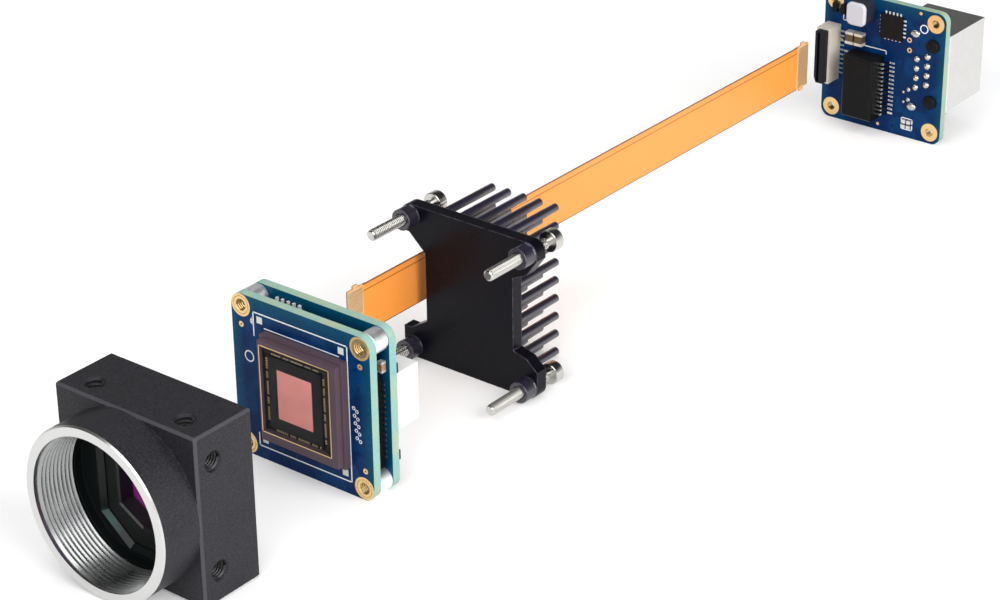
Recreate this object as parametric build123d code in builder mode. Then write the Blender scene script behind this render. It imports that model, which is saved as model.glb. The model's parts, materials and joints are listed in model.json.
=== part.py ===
"""Board level camera, set out along its optical axis in the order it is put together.

Millimetres. +X runs from the lens mount to the network jack, +Z is up and the
pieces stand on the plane Z = 0. The origin is the centre of the lens mount's
lower face.
"""
import math
import os

from build123d import *

os.makedirs("parts", exist_ok=True)

# Square outline shared by the lens mount, the two camera boards and the heatsink
square_size = 29.0
axis_height = square_size / 2
screw_inset = 2.05
screw_spacing = square_size - 2 * screw_inset
screw_radius = 1.0
screw_clearance = 0.05
seat_clearance = 0.05
press_clearance = 0.02

# Sides of the small rounds that repeat
small_round_sides = 16
pin_sides = 10
solder_sides = 8

# Where each group stands along the optical axis, measured to its front face
stack_x = 32.3
plate_x = 74.2
cable_x = 56.9
interface_x = 207.0

# Lens mount
housing_depth = 12.0
housing_edge = 0.4
boss_radius = 14.4
boss_length = 7.4
boss_edge = 0.25
thread_radius = 12.7
thread_length = 7.9
bore_radius = 12.2
floor_depth = 9.4
floor_thickness = 3.5
window_width = 16.0
window_height = 21.4
window_cut_width = 5.2
window_cut_height = 4.2
window_bevel = 0.8
recess_size = 22.6
recess_cut = 2.4
rear_hole_depth = 5.5
side_hole_radius = 1.5
side_hole_mouth = 1.8
side_hole_depth = 3.6
side_hole_spacing = 18.6
base_hole_spacing = 16.0
side_hole_setback = 3.5

# Filter held behind the window of the lens mount
frame_plug_depth = 2.5
frame_flange_width = 18.0
frame_flange_height = 22.2
frame_flange_thickness = 1.6
frame_web = 2.9
light_width = 11.0
light_height = 14.8
light_cut_width = 4.5
light_cut_height = 2.6
light_bevel = 0.3
glass_width = 14.0
glass_height = 18.0
glass_thickness = 1.0
gasket_band = 1.1
gasket_thickness = 1.0

# Camera boards and what joins them
board_thickness = 1.6
board_corner = 2.2
board_gap = 3.0
insert_radius = 1.5
spacer_radius = 2.0

# Image sensor
package_width = 17.2
package_height = 18.8
package_y = -1.2
package_rise = 2.5
package_step = 0.45
package_step_rise = 1.1
cover_width = 14.3
cover_height = 15.2
cover_y = -0.7
cover_z = 0.4
cover_thickness = 0.45
cover_depth = 0.5
shelf_width = 13.0
shelf_height = 14.4
shelf_depth = 0.85
die_pocket_width = 11.6
die_pocket_height = 13.3
die_y = -0.2
die_border = 0.2
die_thickness = 0.5
die_setback = 0.626

# Board-to-board connector along the near edge
link_edge_gap = 1.6
link_spacer_gap = 0.05
link_socket_width = 4.2
link_socket_length = 17.0
link_y = -square_size / 2 + link_edge_gap + link_socket_width / 2
link_z = (link_socket_length - screw_spacing) / 2 + spacer_radius + link_spacer_gap
link_socket_rise = 2.2
link_groove_width = 2.0
link_groove_length = 15.0
link_groove_depth = 1.5
link_plug_width = 3.4
link_plug_length = 16.0
link_contact_count = 14
link_contact_pitch = 1.0
link_contact_width = 0.4
link_foot_length = 0.5
link_foot_thickness = 0.15

# Power header near the top edge, between the boards
power_y = 6.2
power_z = 11.4
power_width = 6.2
power_depth = 2.0
power_rise = 2.4
power_pin_count = 5
power_pin_pitch = 1.2
power_pin_width = 0.45
power_pin_length = 0.8

# Small chips between the boards
top_chip_z = 11.2
top_chip_first_y = 0.9
top_chip_pitch = 3.1
top_chip_count = 4
top_chip_width = 2.0
top_chip_height = 1.6
top_chip_rise = 0.9
edge_capacitor_y = -13.2
edge_capacitor_z = 7.9
edge_capacitor_width = 1.0
edge_capacitor_height = 1.9
edge_capacitor_rise = 1.0

# Rear of the main board
processor_size = 13.0
processor_rise = 1.2
processor_edge = 0.3
pad_size = 12.0
pad_thickness = 1.35
header_y = -12.2
header_z = 0.9
header_width = 4.0
header_length = 10.0
header_rise = 5.4
header_wall = 0.7
header_floor = 1.2
header_pin_count = 6
header_pin_pitch = 1.25
header_pin_size = 0.5
header_pin_rise = 4.6
edge_chip_y = -13.3
edge_chip_width = 1.6
edge_chip_height = 1.7
edge_chip_rise = 0.8
edge_chip_upper_z = 6.75
edge_chip_lower_z = -8.8

# Flat cable sockets and their sliding locks
cable_y = 11.9
cable_z = 14.8
socket_y = 11.65
socket_width = 3.1
socket_length = 11.8
socket_rise = 4.1
socket_wall = 0.45
socket_end_wall = 0.3
socket_floor = 0.7
lock_proud = 1.4
lock_depth = 3.3
lock_end_wall = 0.25
lock_slot_width = 0.6
lock_corner_width = 0.45
lock_corner_height = 1.2
foot_pitch = 1.0
near_foot_count = 10
far_foot_count = 9
foot_width = 0.3
foot_length = 0.9
foot_thickness = 0.2

# Flat cable
cable_length = 140.6
cable_width = 9.2
cable_thickness = 0.2
ear_reach = 0.55
ear_length = 1.2
ear_setback = 1.4
stiffener_length = 4.6
stiffener_thickness = 0.15
finger_count = 17
finger_pitch = 0.5
finger_width = 0.3
finger_length = 3.6
finger_thickness = 0.05

# Heatsink
plate_thickness = 2.4
plate_corner = screw_inset
waist_half_width = 9.4
far_ear_inner_y = 12.9
far_notch_top = 9.3
far_notch_waist_top = 6.1
far_notch_bottom = -9.0
far_notch_waist_bottom = -6.8
near_ear_inner_y = -12.3
near_notch_top = 11.5
near_notch_step = 8.4
near_notch_waist_top = 7.0
near_notch_waist_bottom = -6.5
near_notch_ear_top = -7.3
near_notch_bottom = -9.3
collar_radius = 1.9
collar_length = 2.6
collar_bore_radius = 1.2
pin_radius = 0.725
pin_length = 12.8
pin_columns = 5
pin_rows = 9
pin_column_pitch = 3.4
pin_row_pitch = 3.42

# Heatsink screws
screw_length = 16.0
screw_head_radius = 1.9
screw_head_length = 2.0
screw_head_edge = 0.2
screw_key_size = 1.5
screw_key_depth = 1.0
screw_stand_off = 3.3

# Interface board
interface_size = 28.0
interface_corner = 2.0
interface_hole_inset = 2.4
interface_hole_spacing = interface_size - 2 * interface_hole_inset
interface_hole_radius = 0.85

# Transformer with gull-wing leads
transformer_y = 3.05
transformer_z = 9.8
transformer_width = 6.9
transformer_length = 13.0
transformer_rise = 4.8
transformer_gap = 0.2
transformer_edge = 0.35
lead_count = 13
lead_pitch = 0.905
lead_width = 0.4
lead_thickness = 0.2
lead_exit_rise = 2.0
lead_shoulder = 0.8
lead_lean = 0.65
lead_reach = 2.5

# Inductor, controller and small parts on the interface board
inductor_y = 4.6
inductor_z = 25.15
inductor_width = 4.4
inductor_height = 4.8
inductor_rise = 4.0
inductor_corner = 1.2
inductor_edge = 0.35
controller_y = -2.0
controller_z = 23.0
controller_size = 4.9
controller_rise = 1.0
controller_lead_count = 5
controller_lead_pitch = 0.85
controller_lead_width = 0.32
controller_lead_reach = 0.55
controller_lead_thickness = 0.18
capacitor_y = 6.2
capacitor_z = 18.8
capacitor_pitch = 2.1
capacitor_width = 1.7
capacitor_height = 2.6
capacitor_rise = 1.5
capacitor_cap_length = 0.55
capacitor_cap_proud = 0.06
corner_chip_y = 10.4
corner_chip_z = 24.2
corner_chip_pitch = 1.9
corner_chip_width = 1.1
corner_chip_height = 1.9
corner_chip_rise = 0.8
resistor_y = -6.3
resistor_z = 2.9
resistor_pitch = 1.1
resistor_width = 0.8
resistor_height = 1.8
resistor_rise = 0.45

# Network jack
jack_y = -7.3
jack_z = 14.9
jack_width = 13.2
jack_length = 16.0
jack_rise = 14.0
sheet_thickness = 0.3
tab_width = 1.6
tab_reach = 2.3
tab_slot_clearance = 0.2
plug_width = 8.3
plug_length = 11.9
plug_depth = 11.3
plug_y = jack_y - 0.15
latch_width = 1.4
latch_length = 6.4
latch_step_width = 0.7
latch_step_length = 3.4
contact_count = 8
contact_pitch = 1.016
contact_width = 0.35
contact_thickness = 0.3
contact_slot_width = 0.6
contact_slot_depth = 1.45
contact_near_row_y = jack_y - 3.0
contact_far_row_y = jack_y - 0.6
contact_bend_rise = 0.7
contact_channel_rise = 1.3
contact_top_rise = 10.9
contact_crown = 0.7
contact_tip_rise = 4.9
contact_tip_reach = 3.0
contact_wall_gap = 0.4
contact_tail = 2.4
contact_hole_radius = 0.35
peg_radius = 1.4
peg_spacing = 11.95
peg_y = jack_y - 4.05
peg_reach = 2.4
peg_edge = 0.3
solder_radius = 0.75
solder_top_radius = 0.35
solder_height = 0.6
tab_solder_margin = 0.45
tab_solder_height = 0.4
tab_solder_taper = 20

# Planes along the axis that follow from the sizes above
housing_front_x = -housing_depth / 2
housing_rear_x = housing_depth / 2
boss_front_x = housing_front_x - boss_length
floor_x = boss_front_x + floor_depth
recess_x = floor_x + floor_thickness
side_hole_x = housing_front_x + side_hole_setback
gap_x = stack_x + board_thickness
main_x = gap_x + board_gap
main_rear_x = main_x + board_thickness
plate_rear_x = plate_x + plate_thickness
interface_rear_x = interface_x + board_thickness


def station(x, y=0.0, z=axis_height):
    """Plane across the axis at x that looks along +X: local x is +Y, local y is +Z."""
    return Plane(origin=(x, y, z), x_dir=(0, 1, 0), z_dir=(1, 0, 0))


def facing_lens(x, y=0.0, z=axis_height):
    """Plane across the axis at x that looks along -X: local x is +Y, local y is -Z."""
    return Plane(origin=(x, y, z), x_dir=(0, 1, 0), z_dir=(-1, 0, 0))


def housing_face(angle):
    """Plane on one long face of the lens mount, turned about the axis by angle degrees."""
    turn = math.radians(angle)
    outward = Vector(0, -math.sin(turn), math.cos(turn))
    centre = Vector(side_hole_x, 0, axis_height) + outward * (square_size / 2)
    return Plane(origin=centre, x_dir=(1, 0, 0), z_dir=outward)


def clipped_rectangle(width, height, cut_width, cut_height):
    """Rectangle with its four corners cut off by straight lines."""
    half_width = width / 2
    half_height = height / 2
    inner_width = half_width - cut_width
    inner_height = half_height - cut_height
    quarter = [(half_width, inner_height), (inner_width, half_height)]
    upper = quarter + [(-x, y) for x, y in reversed(quarter)]
    Polygon(*upper, *[(-x, -y) for x, y in upper])


def strip_outline(points, thickness):
    """Corners of a bent strip of even thickness whose middle line runs through points."""
    middle = [Vector(*point) for point in points]
    sides = []
    for index, point in enumerate(middle):
        before = (point - middle[max(index - 1, 0)]).normalized() if index else None
        after = (middle[index + 1] - point).normalized() if index + 1 < len(middle) else None
        first = before if before is not None else after
        second = after if after is not None else before
        mean = (first + second).normalized()
        normal = Vector(-mean.Y, mean.X)
        spread = Vector(-first.Y, first.X).dot(normal)
        sides.append(normal * (thickness / 2 / spread))
    left = [tuple(p + s)[:2] for p, s in zip(middle, sides)]
    right = [tuple(p - s)[:2] for p, s in zip(middle, sides)]
    return left + right[::-1]


def evenly_spaced(count, pitch):
    """Positions of count things at an even pitch, centred on zero."""
    return [(index - (count - 1) / 2) * pitch for index in range(count)]


# Lens mount: square block with a round boss, a lens thread and a recess behind
with BuildPart() as lens_mount:
    with BuildSketch(station(housing_front_x)):
        Rectangle(square_size, square_size)
    extrude(amount=housing_depth)
    chamfer(lens_mount.edges(), length=housing_edge)
    with BuildSketch(station(boss_front_x)):
        Circle(boss_radius)
    extrude(amount=boss_length + housing_edge)
    chamfer(lens_mount.edges().group_by(Axis.X)[0], length=boss_edge)
    with BuildSketch(station(boss_front_x)):
        Circle(thread_radius)
    extrude(amount=thread_length, mode=Mode.SUBTRACT)
    with BuildSketch(station(boss_front_x)):
        Circle(bore_radius)
    extrude(amount=floor_depth, mode=Mode.SUBTRACT)
    with BuildSketch(station(floor_x)):
        clipped_rectangle(window_width, window_height, window_cut_width, window_cut_height)
    extrude(amount=floor_thickness, mode=Mode.SUBTRACT)
    window_rim = lens_mount.edges().filter_by(GeomType.LINE).filter_by_position(
        Axis.X, floor_x, floor_x)
    chamfer(window_rim, length=window_bevel)
    with BuildSketch(station(recess_x)):
        clipped_rectangle(recess_size, recess_size, recess_cut, recess_cut)
    extrude(amount=housing_rear_x - recess_x, mode=Mode.SUBTRACT)
    with BuildSketch(station(housing_rear_x)):
        with GridLocations(screw_spacing, screw_spacing, 2, 2):
            RegularPolygon(screw_radius + screw_clearance, small_round_sides)
    extrude(amount=-rear_hole_depth, mode=Mode.SUBTRACT)
    for face_angle in (0, 90, 180, 270):
        with Locations(housing_face(face_angle)):
            hole_spacing = base_hole_spacing if face_angle == 180 else side_hole_spacing
            with GridLocations(0, hole_spacing, 1, 2):
                CounterSinkHole(side_hole_radius, side_hole_mouth, depth=side_hole_depth)
lens_mount.part.label = "lens_mount"
export_step(lens_mount.part, "parts/lens_mount.step")

# Filter frame: clipped plate plugged into the window, flanged behind it
frame_front_x = recess_x - frame_plug_depth
glass_x = frame_front_x + frame_web
with BuildPart() as filter_frame:
    with BuildSketch(station(frame_front_x)):
        clipped_rectangle(window_width - 2 * seat_clearance, window_height - 2 * seat_clearance,
                          window_cut_width, window_cut_height)
    extrude(amount=frame_plug_depth)
    with BuildSketch(station(recess_x)):
        clipped_rectangle(frame_flange_width, frame_flange_height,
                          window_cut_width, window_cut_height)
    extrude(amount=frame_flange_thickness)
    with BuildSketch(station(frame_front_x)):
        clipped_rectangle(light_width, light_height, light_cut_width, light_cut_height)
    extrude(amount=frame_plug_depth + frame_flange_thickness, mode=Mode.SUBTRACT)
    light_edges = filter_frame.edges().group_by(Axis.X)[0].sort_by(
        lambda edge: (edge.center() - Vector(frame_front_x, 0, axis_height)).length)[:8]
    chamfer(light_edges, length=light_bevel)
    with BuildSketch(station(glass_x)):
        Rectangle(glass_width, glass_height)
    extrude(amount=housing_depth, mode=Mode.SUBTRACT)
filter_frame.part.label = "filter_frame"
export_step(filter_frame.part, "parts/filter_frame.step")

# Filter glass in the rear pocket of its frame
with BuildPart() as filter_glass:
    with BuildSketch(station(glass_x)):
        Rectangle(glass_width - 2 * seat_clearance, glass_height - 2 * seat_clearance)
    extrude(amount=glass_thickness)
filter_glass.part.label = "filter_glass"
export_step(filter_glass.part, "parts/filter_glass.step")

# Dust gasket on the back of the glass
with BuildPart() as filter_gasket:
    with BuildSketch(station(glass_x + glass_thickness)):
        Rectangle(glass_width - 2 * seat_clearance, glass_height - 2 * seat_clearance)
        Rectangle(glass_width - 2 * gasket_band, glass_height - 2 * gasket_band,
                  mode=Mode.SUBTRACT)
    extrude(amount=gasket_thickness)
filter_gasket.part.label = "filter_gasket"
export_step(filter_gasket.part, "parts/filter_gasket.step")

# Sensor board: front board, its holes lined with threaded inserts
with BuildPart() as sensor_board:
    with BuildSketch(station(stack_x)):
        RectangleRounded(square_size, square_size, board_corner)
        with GridLocations(screw_spacing, screw_spacing, 2, 2):
            RegularPolygon(insert_radius + press_clearance, small_round_sides,
                           mode=Mode.SUBTRACT)
    extrude(amount=board_thickness)
sensor_board.part.label = "sensor_board"
export_step(sensor_board.part, "parts/sensor_board.step")

with BuildPart() as threaded_inserts:
    with BuildSketch(station(stack_x)):
        with GridLocations(screw_spacing, screw_spacing, 2, 2):
            RegularPolygon(insert_radius, small_round_sides)
            RegularPolygon(screw_radius + screw_clearance, small_round_sides, mode=Mode.SUBTRACT)
    extrude(amount=board_thickness)
threaded_inserts.part.label = "threaded_inserts"
export_step(threaded_inserts.part, "parts/threaded_inserts.step")

# Round spacers that hold the two boards apart
with BuildPart() as board_spacers:
    with BuildSketch(station(gap_x)):
        with GridLocations(screw_spacing, screw_spacing, 2, 2):
            RegularPolygon(spacer_radius, small_round_sides)
            RegularPolygon(screw_radius + screw_clearance, small_round_sides, mode=Mode.SUBTRACT)
    extrude(amount=board_gap)
board_spacers.part.label = "board_spacers"
export_step(board_spacers.part, "parts/board_spacers.step")

# Main board: rear board with plain screw holes
with BuildPart() as main_board:
    with BuildSketch(station(main_x)):
        RectangleRounded(square_size, square_size, board_corner)
        with GridLocations(screw_spacing, screw_spacing, 2, 2):
            RegularPolygon(screw_radius + 2 * screw_clearance, small_round_sides,
                           mode=Mode.SUBTRACT)
    extrude(amount=board_thickness)
main_board.part.label = "main_board"
export_step(main_board.part, "parts/main_board.step")

# Sensor package: stepped ceramic tray with a seat for the cover and a bonding shelf
package_x = stack_x - package_rise
die_x = package_x + die_setback
with BuildPart() as sensor_package:
    with BuildSketch(station(stack_x, package_y)):
        Rectangle(package_width, package_height)
    extrude(amount=-(package_rise - package_step_rise))
    with BuildSketch(station(package_x, package_y)):
        Rectangle(package_width - 2 * package_step, package_height - 2 * package_step)
    extrude(amount=package_step_rise)
    with BuildSketch(station(package_x, cover_y, axis_height + cover_z)):
        Rectangle(cover_width, cover_height)
    extrude(amount=cover_depth, mode=Mode.SUBTRACT)
    with BuildSketch(station(package_x, die_y)):
        Rectangle(shelf_width, shelf_height)
    extrude(amount=shelf_depth, mode=Mode.SUBTRACT)
    with BuildSketch(station(package_x, die_y)):
        Rectangle(die_pocket_width, die_pocket_height)
    extrude(amount=die_setback + die_thickness, mode=Mode.SUBTRACT)
sensor_package.part.label = "sensor_package"
export_step(sensor_package.part, "parts/sensor_package.step")

with BuildPart() as sensor_die:
    with BuildSketch(station(die_x, die_y)):
        Rectangle(die_pocket_width - 2 * die_border, die_pocket_height - 2 * die_border)
    extrude(amount=die_thickness)
sensor_die.part.label = "sensor_die"
export_step(sensor_die.part, "parts/sensor_die.step")

cover_x = package_x + cover_depth - cover_thickness
with BuildPart() as sensor_cover_glass:
    with BuildSketch(station(cover_x, cover_y, axis_height + cover_z)):
        Rectangle(cover_width - 2 * seat_clearance, cover_height - 2 * seat_clearance)
    extrude(amount=cover_thickness)
sensor_cover_glass.part.label = "sensor_cover_glass"
export_step(sensor_cover_glass.part, "parts/sensor_cover_glass.step")

# Board-to-board connector: grooved socket on the main board, tongued plug in it
link_plane_z = axis_height + link_z
link_plug_rise = board_gap - link_socket_rise
with BuildPart() as stack_socket:
    with BuildSketch(facing_lens(main_x, link_y, link_plane_z)):
        Rectangle(link_socket_width, link_socket_length)
    extrude(amount=link_socket_rise)
    with BuildSketch(facing_lens(main_x - link_socket_rise, link_y, link_plane_z)):
        Rectangle(link_groove_width, link_groove_length)
    extrude(amount=-link_groove_depth, mode=Mode.SUBTRACT)
stack_socket.part.label = "stack_socket"
export_step(stack_socket.part, "parts/stack_socket.step")

with BuildPart() as stack_plug:
    with BuildSketch(station(gap_x, link_y, link_plane_z)):
        Rectangle(link_plug_width, link_plug_length)
    extrude(amount=link_plug_rise)
    with BuildSketch(station(gap_x + link_plug_rise, link_y, link_plane_z)):
        Rectangle(link_groove_width - 2 * seat_clearance, link_groove_length - 2 * seat_clearance)
    extrude(amount=link_groove_depth - seat_clearance)
stack_plug.part.label = "stack_plug"
export_step(stack_plug.part, "parts/stack_plug.step")

# Soldered feet on both long sides of the board-to-board socket
with BuildPart() as stack_contacts:
    with BuildSketch(facing_lens(main_x, link_y, link_plane_z)):
        with GridLocations(link_socket_width + link_foot_length, link_contact_pitch,
                           2, link_contact_count):
            Rectangle(link_foot_length, link_contact_width)
    extrude(amount=link_foot_thickness)
stack_contacts.part.label = "stack_contacts"
export_step(stack_contacts.part, "parts/stack_contacts.step")

# Power header and its soldered pins, on the front of the main board
with BuildPart() as power_header:
    with BuildSketch(facing_lens(main_x, power_y, axis_height + power_z)):
        Rectangle(power_width, power_depth)
    extrude(amount=power_rise)
power_header.part.label = "power_header"
export_step(power_header.part, "parts/power_header.step")

power_pin_z = axis_height + power_z + (power_depth + power_pin_length) / 2
with BuildPart() as power_header_pins:
    with BuildSketch(facing_lens(main_x, power_y, power_pin_z)):
        with GridLocations(power_pin_pitch, 0, power_pin_count, 1):
            Rectangle(power_pin_width, power_pin_length)
    extrude(amount=power_pin_width)
power_header_pins.part.label = "power_header_pins"
export_step(power_header_pins.part, "parts/power_header_pins.step")

# Chips and one capacitor on the front of the main board
top_chip_y = top_chip_first_y - (top_chip_count - 1) * top_chip_pitch / 2
with BuildPart() as stack_chips:
    with BuildSketch(facing_lens(main_x, top_chip_y, axis_height + top_chip_z)):
        with GridLocations(top_chip_pitch, 0, top_chip_count, 1):
            Rectangle(top_chip_width, top_chip_height)
    extrude(amount=top_chip_rise)
stack_chips.part.label = "stack_chips"
export_step(stack_chips.part, "parts/stack_chips.step")

with BuildPart() as edge_capacitor:
    with BuildSketch(facing_lens(main_x, edge_capacitor_y, axis_height + edge_capacitor_z)):
        Rectangle(edge_capacitor_width, edge_capacitor_height)
    extrude(amount=edge_capacitor_rise)
edge_capacitor.part.label = "edge_capacitor"
export_step(edge_capacitor.part, "parts/edge_capacitor.step")

# Image processor and the soft pad that carries its heat to the heatsink
with BuildPart() as image_processor:
    with BuildSketch(station(main_rear_x)):
        Rectangle(processor_size, processor_size)
    extrude(amount=processor_rise)
    chamfer(image_processor.edges().group_by(Axis.X)[-1], length=processor_edge)
image_processor.part.label = "image_processor"
export_step(image_processor.part, "parts/image_processor.step")

with BuildPart() as thermal_pad:
    with BuildSketch(station(main_rear_x + processor_rise)):
        Rectangle(pad_size, pad_size)
    extrude(amount=pad_thickness)
thermal_pad.part.label = "thermal_pad"
export_step(thermal_pad.part, "parts/thermal_pad.step")

# Shrouded side header with its row of pins
header_centre_z = axis_height + header_z
with BuildPart() as side_header:
    with BuildSketch(station(main_rear_x, header_y, header_centre_z)):
        Rectangle(header_width, header_length)
    extrude(amount=header_rise)
    with BuildSketch(station(main_rear_x + header_floor, header_y, header_centre_z)):
        Rectangle(header_width - 2 * header_wall, header_length - 2 * header_wall)
    extrude(amount=header_rise, mode=Mode.SUBTRACT)
    with BuildSketch(station(main_rear_x, header_y, header_centre_z)):
        with GridLocations(0, header_pin_pitch, 1, header_pin_count):
            Rectangle(header_pin_size + 2 * press_clearance, header_pin_size + 2 * press_clearance)
    extrude(amount=header_floor, mode=Mode.SUBTRACT)
side_header.part.label = "side_header"
export_step(side_header.part, "parts/side_header.step")

with BuildPart() as side_header_pins:
    with BuildSketch(station(main_rear_x, header_y, header_centre_z)):
        with GridLocations(0, header_pin_pitch, 1, header_pin_count):
            Rectangle(header_pin_size, header_pin_size)
    extrude(amount=header_pin_rise)
side_header_pins.part.label = "side_header_pins"
export_step(side_header_pins.part, "parts/side_header_pins.step")

with BuildPart() as edge_chips:
    for chip_z in (edge_chip_upper_z, edge_chip_lower_z):
        with BuildSketch(station(main_rear_x, edge_chip_y, axis_height + chip_z)):
            Rectangle(edge_chip_width, edge_chip_height)
        extrude(amount=edge_chip_rise)
edge_chips.part.label = "edge_chips"
export_step(edge_chips.part, "parts/edge_chips.step")

# Flat cable sockets: the same socket on both boards, each facing the cable
socket_cavity_width = socket_width - 2 * socket_wall
socket_cavity_length = socket_length - 2 * socket_end_wall
lock_width = socket_cavity_width - 2 * seat_clearance
lock_length = socket_cavity_length - 2 * seat_clearance
lock_front_rise = socket_rise + lock_proud


def cable_socket(board_plane):
    """Socket that rises from board_plane, open at its outer end."""
    with BuildPart() as socket:
        with BuildSketch(board_plane):
            Rectangle(socket_width, socket_length)
        extrude(amount=socket_rise)
        with BuildSketch(board_plane.offset(socket_floor)):
            Rectangle(socket_cavity_width, socket_cavity_length)
        extrude(amount=socket_rise, mode=Mode.SUBTRACT)
    return socket


def cable_lock(board_plane, low_corner):
    """Sliding lock with a slot for the cable; low_corner is -1 or 1, the cut end in local y."""
    corner_x = lock_width / 2
    corner_y = low_corner * lock_length / 2
    with BuildPart() as lock:
        with BuildSketch(board_plane.offset(lock_front_rise)):
            Rectangle(lock_width, lock_length)
            Polygon((corner_x, corner_y), (corner_x - lock_corner_width, corner_y),
                    (corner_x, corner_y - low_corner * lock_corner_height),
                    align=None, mode=Mode.SUBTRACT)
            with Locations((cable_y - socket_y, 0)):
                Rectangle(lock_slot_width, lock_length - 2 * lock_end_wall, mode=Mode.SUBTRACT)
        extrude(amount=-lock_depth)
    return lock


def socket_feet(board_plane):
    """Soldered feet along both long sides of a socket."""
    row_offset = (socket_width + foot_length) / 2
    with BuildPart() as feet:
        with BuildSketch(board_plane):
            for side, count in ((-1, near_foot_count), (1, far_foot_count)):
                with Locations((side * row_offset, 0)):
                    with GridLocations(0, foot_pitch, 1, count):
                        Rectangle(foot_length, foot_width)
        extrude(amount=foot_thickness)
    return feet


rear_socket_plane = station(main_rear_x, socket_y, cable_z)
front_socket_plane = facing_lens(interface_x, socket_y, cable_z)

rear_cable_socket = cable_socket(rear_socket_plane)
rear_cable_socket.part.label = "rear_cable_socket"
export_step(rear_cable_socket.part, "parts/rear_cable_socket.step")

rear_socket_contacts = socket_feet(rear_socket_plane)
rear_socket_contacts.part.label = "rear_socket_contacts"
export_step(rear_socket_contacts.part, "parts/rear_socket_contacts.step")

rear_cable_lock = cable_lock(rear_socket_plane, -1)
rear_cable_lock.part.label = "rear_cable_lock"
export_step(rear_cable_lock.part, "parts/rear_cable_lock.step")

front_cable_socket = cable_socket(front_socket_plane)
front_cable_socket.part.label = "front_cable_socket"
export_step(front_cable_socket.part, "parts/front_cable_socket.step")

front_socket_contacts = socket_feet(front_socket_plane)
front_socket_contacts.part.label = "front_socket_contacts"
export_step(front_socket_contacts.part, "parts/front_socket_contacts.step")

front_cable_lock = cable_lock(front_socket_plane, 1)
front_cable_lock.part.label = "front_cable_lock"
export_step(front_cable_lock.part, "parts/front_cable_lock.step")

# Flat cable: straight strip with a pair of ears near each end
cable_face_y = cable_y - cable_thickness / 2
cable_middle_x = cable_x + cable_length / 2
cable_face = Plane(origin=(cable_middle_x, cable_face_y, cable_z), x_dir=(1, 0, 0),
                   z_dir=(0, -1, 0))
ear_centre = cable_length / 2 - ear_setback - ear_length / 2
with BuildPart() as flat_cable:
    with BuildSketch(cable_face):
        Rectangle(cable_length, cable_width)
        with Locations((-ear_centre, 0), (ear_centre, 0)):
            Rectangle(ear_length, cable_width + 2 * ear_reach)
    extrude(amount=-cable_thickness)
flat_cable.part.label = "flat_cable"
export_step(flat_cable.part, "parts/flat_cable.step")

# Stiffeners on the far face of both ends, cut to the cable's outline
stiffener_centre = (cable_length - stiffener_length) / 2
with BuildPart() as cable_stiffeners:
    with BuildSketch(cable_face.offset(-cable_thickness)):
        with Locations((-stiffener_centre, 0), (stiffener_centre, 0)):
            Rectangle(stiffener_length, cable_width)
        with Locations((-ear_centre, 0), (ear_centre, 0)):
            Rectangle(ear_length, cable_width + 2 * ear_reach)
    extrude(amount=-stiffener_thickness)
cable_stiffeners.part.label = "cable_stiffeners"
export_step(cable_stiffeners.part, "parts/cable_stiffeners.step")

# Bare contact fingers on the near face of both ends
finger_spread = cable_length - finger_length
with BuildPart() as cable_contacts:
    with BuildSketch(cable_face):
        with GridLocations(finger_spread, finger_pitch, 2, finger_count):
            Rectangle(finger_length, finger_width)
    extrude(amount=finger_thickness)
cable_contacts.part.label = "cable_contacts"
export_step(cable_contacts.part, "parts/cable_contacts.step")

# Heatsink: waisted plate with corner ears, a field of round pins and four collars
half_square = square_size / 2
with BuildPart() as heatsink:
    with BuildSketch(station(plate_x)):
        RectangleRounded(square_size, square_size, plate_corner)
        Polygon((far_ear_inner_y, far_notch_top), (waist_half_width, far_notch_waist_top),
                (waist_half_width, far_notch_waist_bottom), (far_ear_inner_y, far_notch_bottom),
                (square_size, far_notch_bottom), (square_size, far_notch_top),
                align=None, mode=Mode.SUBTRACT)
        Polygon((near_ear_inner_y, near_notch_step), (-waist_half_width, near_notch_waist_top),
                (-waist_half_width, near_notch_waist_bottom),
                (near_ear_inner_y, near_notch_ear_top),
                (-half_square, near_notch_bottom),
                (-square_size, near_notch_bottom), (-square_size, near_notch_top),
                (-half_square, near_notch_top),
                align=None, mode=Mode.SUBTRACT)
    extrude(amount=plate_thickness)
    with BuildSketch(station(plate_rear_x)):
        with GridLocations(pin_column_pitch, pin_row_pitch, pin_columns, pin_rows):
            RegularPolygon(pin_radius, pin_sides)
    extrude(amount=pin_length)
    with BuildSketch(station(plate_x)):
        with GridLocations(screw_spacing, screw_spacing, 2, 2):
            RegularPolygon(collar_radius, small_round_sides)
    extrude(amount=-collar_length)
    with BuildSketch(station(plate_x - collar_length)):
        with GridLocations(screw_spacing, screw_spacing, 2, 2):
            RegularPolygon(collar_bore_radius, small_round_sides)
    extrude(amount=collar_length + plate_thickness, mode=Mode.SUBTRACT)
heatsink.part.label = "heatsink"
export_step(heatsink.part, "parts/heatsink.step")

# Cap screws standing half out of the collars
head_x = plate_rear_x + screw_stand_off
with BuildPart() as heatsink_screws:
    with BuildSketch(station(head_x)):
        with GridLocations(screw_spacing, screw_spacing, 2, 2):
            RegularPolygon(screw_head_radius, small_round_sides)
    extrude(amount=screw_head_length)
    chamfer(heatsink_screws.edges().group_by(Axis.X)[-1], length=screw_head_edge)
    with BuildSketch(station(head_x)):
        with GridLocations(screw_spacing, screw_spacing, 2, 2):
            RegularPolygon(screw_radius, small_round_sides)
    extrude(amount=-screw_length)
    with BuildSketch(station(head_x + screw_head_length)):
        with GridLocations(screw_spacing, screw_spacing, 2, 2):
            RegularPolygon(screw_key_size / 2, 6, major_radius=False)
    extrude(amount=-screw_key_depth, mode=Mode.SUBTRACT)
heatsink_screws.part.label = "heatsink_screws"
export_step(heatsink_screws.part, "parts/heatsink_screws.step")

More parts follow.
